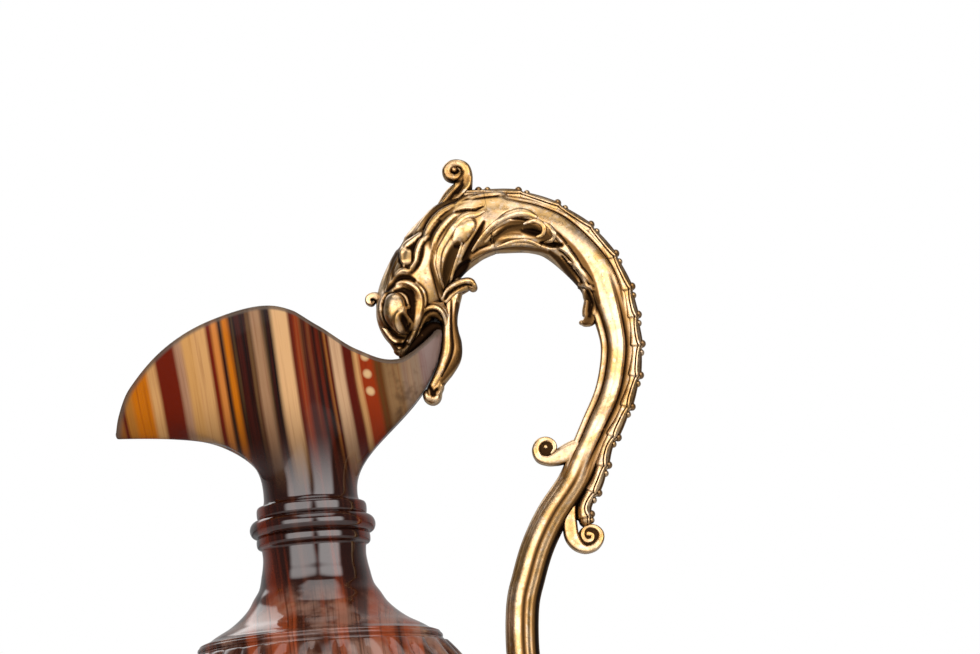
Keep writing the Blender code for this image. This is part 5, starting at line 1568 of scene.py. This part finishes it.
def bead_row(radius, height, bead):
    """A ring of beads round the axis, each a little taller than wide."""
    count = round(2 * math.pi * radius / (bead * bead_pitch_share))
    points, faces = ball(12, 8)
    points = points * (bead, bead * 0.96, bead * 1.12) + (radius, 0, height)
    places = []
    sides = []
    for step, turn in enumerate(circle(count)):
        places += [Matrix.Rotation(turn, 3, "Z") @ Vector(point) for point in points]
        sides += [[corner + step * len(points) for corner in face] for face in faces]
    mesh = bpy.data.meshes.new("beads")
    mesh.from_pydata(places, [], sides)
    return bpy.data.objects.new("beads", mesh)


def mount(name, loops, material, slot, node, bead_rows=()):
    """A mount from its loops and its rings of beads."""
    body = grid_piece(name + "_body", np.array(loops), material, wrap_rows=True)
    made = merged(name, [body, *(bead_row(*row) for row in bead_rows)], material)
    return dress(made, slot, node)


def gilt_mount(name, loops, node, bead_rows=()):
    """A turned and gilded mount."""
    return mount(name, loops, mount_gilt, "gilt_mounts", node, bead_rows)


def plain_loops(outline):
    """Round loops through (radius, height) points."""
    return [mount_loop(radius, height) for radius, height in outline]


def girdle_mount():
    """The band of the belly: slanting reeds between two fillets and two rings of beads."""
    land = belly_radius - land_step + gap
    top = girdle_level + girdle_height / 2 - gap
    base = girdle_level - girdle_height / 2 + gap
    web = girdle_web / 2
    web_radius = land - stone_wall / 2
    bead_seat = girdle_radius - girdle_bead_radius
    bead_foot = bead_seat - girdle_bead_radius * 0.6
    fillet = bead_seat - gap
    band = girdle_height / 2 - girdle_bead_radius * 3.4
    loops = plain_loops([
        (land, top), (bead_foot, top), (fillet - gap, girdle_level + band + gap * 1.5),
        (fillet + gap, girdle_level + band + gap)])
    for share in np.linspace(0, 1, girdle_rows + 1):
        height = girdle_level + band * (1 - 2 * share)
        crown = math.sin(math.pi * share) ** 0.5
        reeds = np.abs(np.sin(mount_turns * reed_count / 2 + reed_slant * share)) ** 0.7
        loops.append(mount_loop(fillet - gap + crown * (gap + reed_depth * (2 * reeds - 1)), height))
    loops += plain_loops([
        (fillet + gap, girdle_level - band - gap), (fillet - gap, girdle_level - band - gap * 1.5),
        (bead_foot, base), (land, base), (land, girdle_level - web), (web_radius, girdle_level - web),
        (web_radius, girdle_level + web), (land, girdle_level + web)])
    inset_height = girdle_bead_radius * 1.25
    gilt_mount("girdle_band", loops, "girdle", (
        (bead_seat, top - inset_height, girdle_bead_radius),
        (bead_seat, base + inset_height, girdle_bead_radius)))


def cup_mount():
    """The cup under the bowl: upright lobes below a bead ring."""
    seat_angle = math.asin(cup_radius / belly_radius)
    seat = [belly_point(angle, False, -2 * gap - bedding) for angle in np.linspace(seat_angle, 0.1, 12)]
    rim_radius, rim_level = seat[0]
    edge = rim_radius + cup_wall * 0.8
    shell_top = rim_level - cup_wall * 0.6
    shares = ((1.00, 0.0), (0.985, 0.07), (0.90, 0.20), (0.76, 0.38), (0.60, 0.56), (0.47, 0.72),
              (0.40, 0.86), (0.385, 1.0))
    shell = smooth_profile(
        [(edge * share, shell_top - level * (shell_top - cup_base)) for share, level in shares],
        fine_step * 1.6)
    loops = plain_loops([(rim_radius + gap, rim_level + gap), (edge - gap, rim_level),
                         (edge, rim_level - gap), (edge - gap, rim_level - cup_wall * 0.5)])
    lobes = np.abs(np.sin(mount_turns * cup_lobes / 2)) ** 0.6
    for row, (radius, height) in enumerate(shell):
        share = row / (len(shell) - 1)
        depth = cup_lobe_depth * math.sin(math.pi * min(1, share * 1.08)) ** 0.6
        loops.append(mount_loop(radius - depth * (1 - lobes), height))
    loops += plain_loops([(bore_radius, cup_base), (bore_radius, seat[-1][1]), *seat[::-1]])
    gilt_mount("body_cup_lobed", loops, "body_cup", (
        (edge - collar_bead_radius * 0.9, rim_level - cup_wall * 0.42, collar_bead_radius),))


def collar_mounts():
    """The two collars of the stem: a ring of beads on a round moulding."""
    swell = stem_radius + collar_swell - collar_bead_radius
    for name, base in (("lower_collar", lower_collar_base), ("upper_collar", upper_collar_base)):
        middle = base + collar_height / 2
        outline = [(bore_radius, base + collar_height), (stem_radius, base + collar_height)]
        outline += arc((stem_radius, base + collar_height * 0.80), collar_height * 0.19, 88, -88)
        outline += arc((swell - collar_height * 0.16, middle), collar_height * 0.22, 80, -80)
        outline += arc((stem_radius, base + collar_height * 0.20), collar_height * 0.19, 88, -88)
        outline += [(stem_radius, base), (bore_radius, base)]
        gilt_mount(name + "_turned", plain_loops(outline), name, ((swell, middle, collar_bead_radius),))


def stem_stones():
    """The knop and the dome of the foot, turned in the same stone."""
    waist = stem_radius * 0.86
    knop = [(bore_radius, knop_top)]
    for share in np.linspace(0, 1, 48):
        swell = math.sin(math.pi * share) ** 1.5
        knop.append((waist + (knop_radius - waist) * swell, knop_top - knop_height * share))
    knop.append((bore_radius, knop_base))
    mount("stone_knop", plain_loops(knop), bowl_look, "banded_agate", "stem_knop")

    underside = foot_rim_ledge + gap
    run = foot_edge - stem_radius
    shares = ((0.00, 0.00), (0.03, 0.16), (0.12, 0.42), (0.34, 0.66), (0.62, 0.80), (0.88, 0.88),
              (1.00, 1.00))
    outline = list(smooth_profile(
        [(stem_radius + run * out, dome_top - dome_rise * down) for out, down in shares],
        fine_step * 1.6))
    outline += [
        (foot_edge - gap * 2, underside), (foot_edge - foot_wall, underside),
        (foot_edge - foot_wall * 1.6, underside + dome_rise * 0.12),
        (stem_radius + run * 0.30, dome_top - dome_rise * 0.66 - foot_wall),
        (stem_radius * 0.92, dome_ceiling), (bore_radius, dome_ceiling), (bore_radius, dome_top)]
    mount("stone_dome", plain_loops(outline), bowl_look, "banded_agate", "foot_dome")


def foot_mounts():
    """The rim round the foot, with a bead ring over a leaf-cut ogee, and the plate that closes it."""
    bead_seat = foot_radius - gap * 3 - rim_bead_radius
    loops = plain_loops([
        (foot_edge + gap * 3, foot_rim_height), (bead_seat - rim_bead_radius, foot_rim_height),
        *arc((bead_seat, foot_rim_height * 0.80), rim_bead_radius * 0.7, 80, -80)])
    petals = np.abs(np.sin(mount_turns * reed_count / 4)) ** 0.6
    for share in np.linspace(0, 1, ogee_rows + 1):
        ogee = foot_radius - gap * 4 + gap * 3 * (share - math.sin(math.tau * share) / 5)
        cut = reed_depth * (1 - petals) * math.sin(math.pi * share) ** 0.7
        loops.append(mount_loop(ogee - cut, foot_rim_height * (0.64 - 0.30 * share)))
    loops += plain_loops([
        (foot_radius, foot_rim_height * 0.31), (foot_radius, 0),
        (foot_radius - foot_rim_width, 0), (foot_radius - foot_rim_width, foot_rim_ledge),
        (foot_edge + gap, foot_rim_ledge)])
    gilt_mount("foot_rim_cast", loops, "foot_rim", (
        (bead_seat, foot_rim_height * 0.82, rim_bead_radius),))

    boss_radius = stem_radius * 0.72
    boss_top = dome_ceiling - gap
    plate_radius = foot_radius - foot_rim_width - gap
    plate_floor = plate_thickness * 0.8
    outline = [(centre_radius, plate_floor), (bore_radius, plate_floor), (bore_radius, boss_top),
               (boss_radius, boss_top), (boss_radius, plate_thickness), (plate_radius, plate_thickness)]
    for share in np.linspace(0, 1, plate_grooves * 4 + 1):
        sunk = gap * (1 - math.cos(math.tau * share * plate_grooves)) / 4
        outline.append((plate_radius * (1 - share) + centre_radius * share, sunk))
    mount("base_plate_turned", plain_loops(outline), plate_look, "gilt_plate", "base_plate")


def block(low, high, edge):
    """A block between two corners, with rounded edges."""
    size = Vector(high) - Vector(low)
    shape = Matrix.Translation(Vector(low) + size / 2) @ Matrix.Diagonal((*size, 1))
    bm = bmesh.new()
    bmesh.ops.create_cube(bm, size=1, matrix=shape)
    bmesh.ops.bevel(bm, geom=bm.edges[:], offset=edge, segments=4, profile=0.5, affect="EDGES")
    mesh = bpy.data.meshes.new("block")
    bm.to_mesh(mesh)
    bm.free()
    return bpy.data.objects.new("block", mesh)


def lug():
    """The lug that carries the tail rod: a flange with rounded edges and an arm with ribs below."""
    flange_face = girdle_radius + gap
    flange_thickness = lug_half_height / 2
    flange_end = flange_face + flange_thickness
    flange = block((flange_face, -2 * lug_half_width, girdle_level - lug_half_height),
                   (flange_end, 2 * lug_half_width, girdle_level + lug_half_height), gap * 2)
    arm = block((flange_face + flange_thickness / 2, -lug_half_width, arm_base),
                (arm_end, lug_half_width, lug_top), gap * 3)
    ribs = [block((flange_end, middle - gap * 2.4, arm_base - gap * 0.8),
                  (arm_end - gap * 2, middle + gap * 2.4, arm_base + gap * 2), gap)
            for middle in (-lug_half_width * 0.55, 0, lug_half_width * 0.55)]
    dress(merged("tail_lug_cast", [flange, arm, *ribs], curl_gilt), "gilt_handle", "tail_lug")

    turn = circle(rivet_sides)
    for name, side in (("tail_rivet_near", -1), ("tail_rivet_far", 1)):
        centre = np.array([flange_end + gap, side * 1.5 * lug_half_width, girdle_level])
        rows = []
        for angle in np.linspace(0, math.pi / 2, 12):
            lift = rivet_radius * (0.15 + 0.85 * math.sin(angle))
            reach = rivet_radius * math.cos(angle * 0.97)
            rows.append(centre + np.stack(
                [np.full(rivet_sides, lift), reach * np.cos(turn), reach * np.sin(turn)], axis=1))
        rows.insert(0, rows[0] - (rivet_radius * 0.15, 0, 0))
        dress(grid_piece(name + "_head", np.array(rows), curl_gilt), "gilt_handle", name)


def volute():
    """The small scroll that hangs under the lug."""
    top = arm_base - gap
    middle = arm_end - tail_scroll_radius - curl_radius * 1.5
    level = top - tail_scroll_radius * 1.3
    knots = [(middle + tail_scroll_radius, 0, top - gap, curl_radius * 1.4)]
    for share in np.linspace(0, 1, volute_rows):
        turn = -share * volute_turns * math.tau
        reach = tail_scroll_radius * (1 - share) + curl_radius * 0.5 * share
        knots.append((middle + reach * math.cos(turn), 0, level + reach * math.sin(turn),
                      curl_radius * (1.25 - 0.55 * share)))
    grid = domed(plate(smooth_line(knots, fine_step), scroll_half_width * 0.75, 48))
    dress(grid_piece("tail_volute_cast", grid, curl_gilt), "gilt_handle", "tail_volute")


girdle_mount()
cup_mount()
collar_mounts()
stem_stones()
foot_mounts()
lug()
volute()
for node, look in (("girdle_bedding", mastic_look), ("cup_bedding", mastic_look),
                   ("tie_rod", steel_look)):
    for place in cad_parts[node].material_slots:
        place.material = look

# Stage, light and camera
scene = bpy.context.scene
scene.view_settings.view_transform = "Standard"
box_core = 0.30
box_target = Vector((0.0, 0.0, 0.2))
soft_pink = (1.0, 0.97, 0.965)
white = (1, 1, 1, 1)
dark_sky = (0.10, 0.10, 0.105, 1)
rear_white = 0.35
floor_size = 2.4


def soft_box(name, azimuth, elevation, distance, size, power, colour=(1, 1, 1)):
    """A lamp behind a diffuser that fades at its edges. Azimuth 0 is in front, 90 the handle's side."""
    lamp = bpy.data.lights.new(name, "AREA")
    lamp.shape = "RECTANGLE"
    lamp.size, lamp.size_y = size
    lamp.energy = power
    lamp.color = colour
    recipe = Recipe(lamp)
    spot = recipe.node("ShaderNodeNewGeometry").outputs["Parametric"]
    shares = [
        recipe.between(recipe.math("ABSOLUTE", recipe.minus(recipe.part(spot, axis), 0.5)), 0.5, box_core)
        for axis in ("X", "Y")]
    recipe.put(recipe.times(*shares), recipe.tree.nodes["Emission"].inputs["Strength"])
    turn = math.radians(azimuth)
    rise = math.radians(elevation)
    away = Vector((math.sin(turn) * math.cos(rise), -math.cos(turn) * math.cos(rise), math.sin(rise)))
    box = add_object(name, lamp)
    box.location = box_target + distance * away
    box.rotation_euler = (box_target - box.location).to_track_quat("-Z", "Y").to_euler()


soft_box("key_box", -24, 10, 1.1, (1.42, 1.10), 17, soft_pink)
soft_box("fill_box", 37, 10, 1.1, (1.20, 1.10), 16, soft_pink)
soft_box("top_box", 15, 66, 1.1, (1.2, 0.9), 7)
soft_box("rear_box", -150, 45, 1.3, (0.9, 0.9), 5)

# The ground behind is white. The stone and the gilding mirror a dark room, paler at the rear
scene.world = bpy.data.worlds.new("studio")
sky = Recipe(scene.world)
path = sky.node("ShaderNodeLightPath").outputs
rear = sky.part(sky.node("ShaderNodeTexCoord").outputs["Generated"], "Y")
rear = sky.times(sky.between(rear, 0.15, 0.75), rear_white)
seen = sky.most(path["Is Camera Ray"], path["Is Transmission Ray"])
share = sky.most(seen, sky.times(path["Is Glossy Ray"], rear))
sky.put(sky.mix(share, dark_sky, white), sky.tree.nodes["Background"].inputs["Color"])

floor_mesh = bpy.data.meshes.new("floor")
floor_mesh.from_pydata(
    [(-floor_size, -floor_size, 0), (floor_size, -floor_size, 0), (floor_size, floor_size, 0),
     (-floor_size, floor_size, 0)], [], [(0, 1, 2, 3)])
floor_mesh.materials.append(plain_look("pale_floor", (0.86, 0.86, 0.86, 1.0), 0.7, 0.0, 4.0))
floor = add_object("floor", floor_mesh)

camera_data = bpy.data.cameras.new("camera")
camera_data.lens = lens
camera_data.sensor_width = sensor_width
camera = add_object("camera", camera_data)
pose = Matrix((view_right, view_up, -forward)).transposed().to_4x4()
pose.translation = camera_place
camera.matrix_world = pose
scene.camera = camera
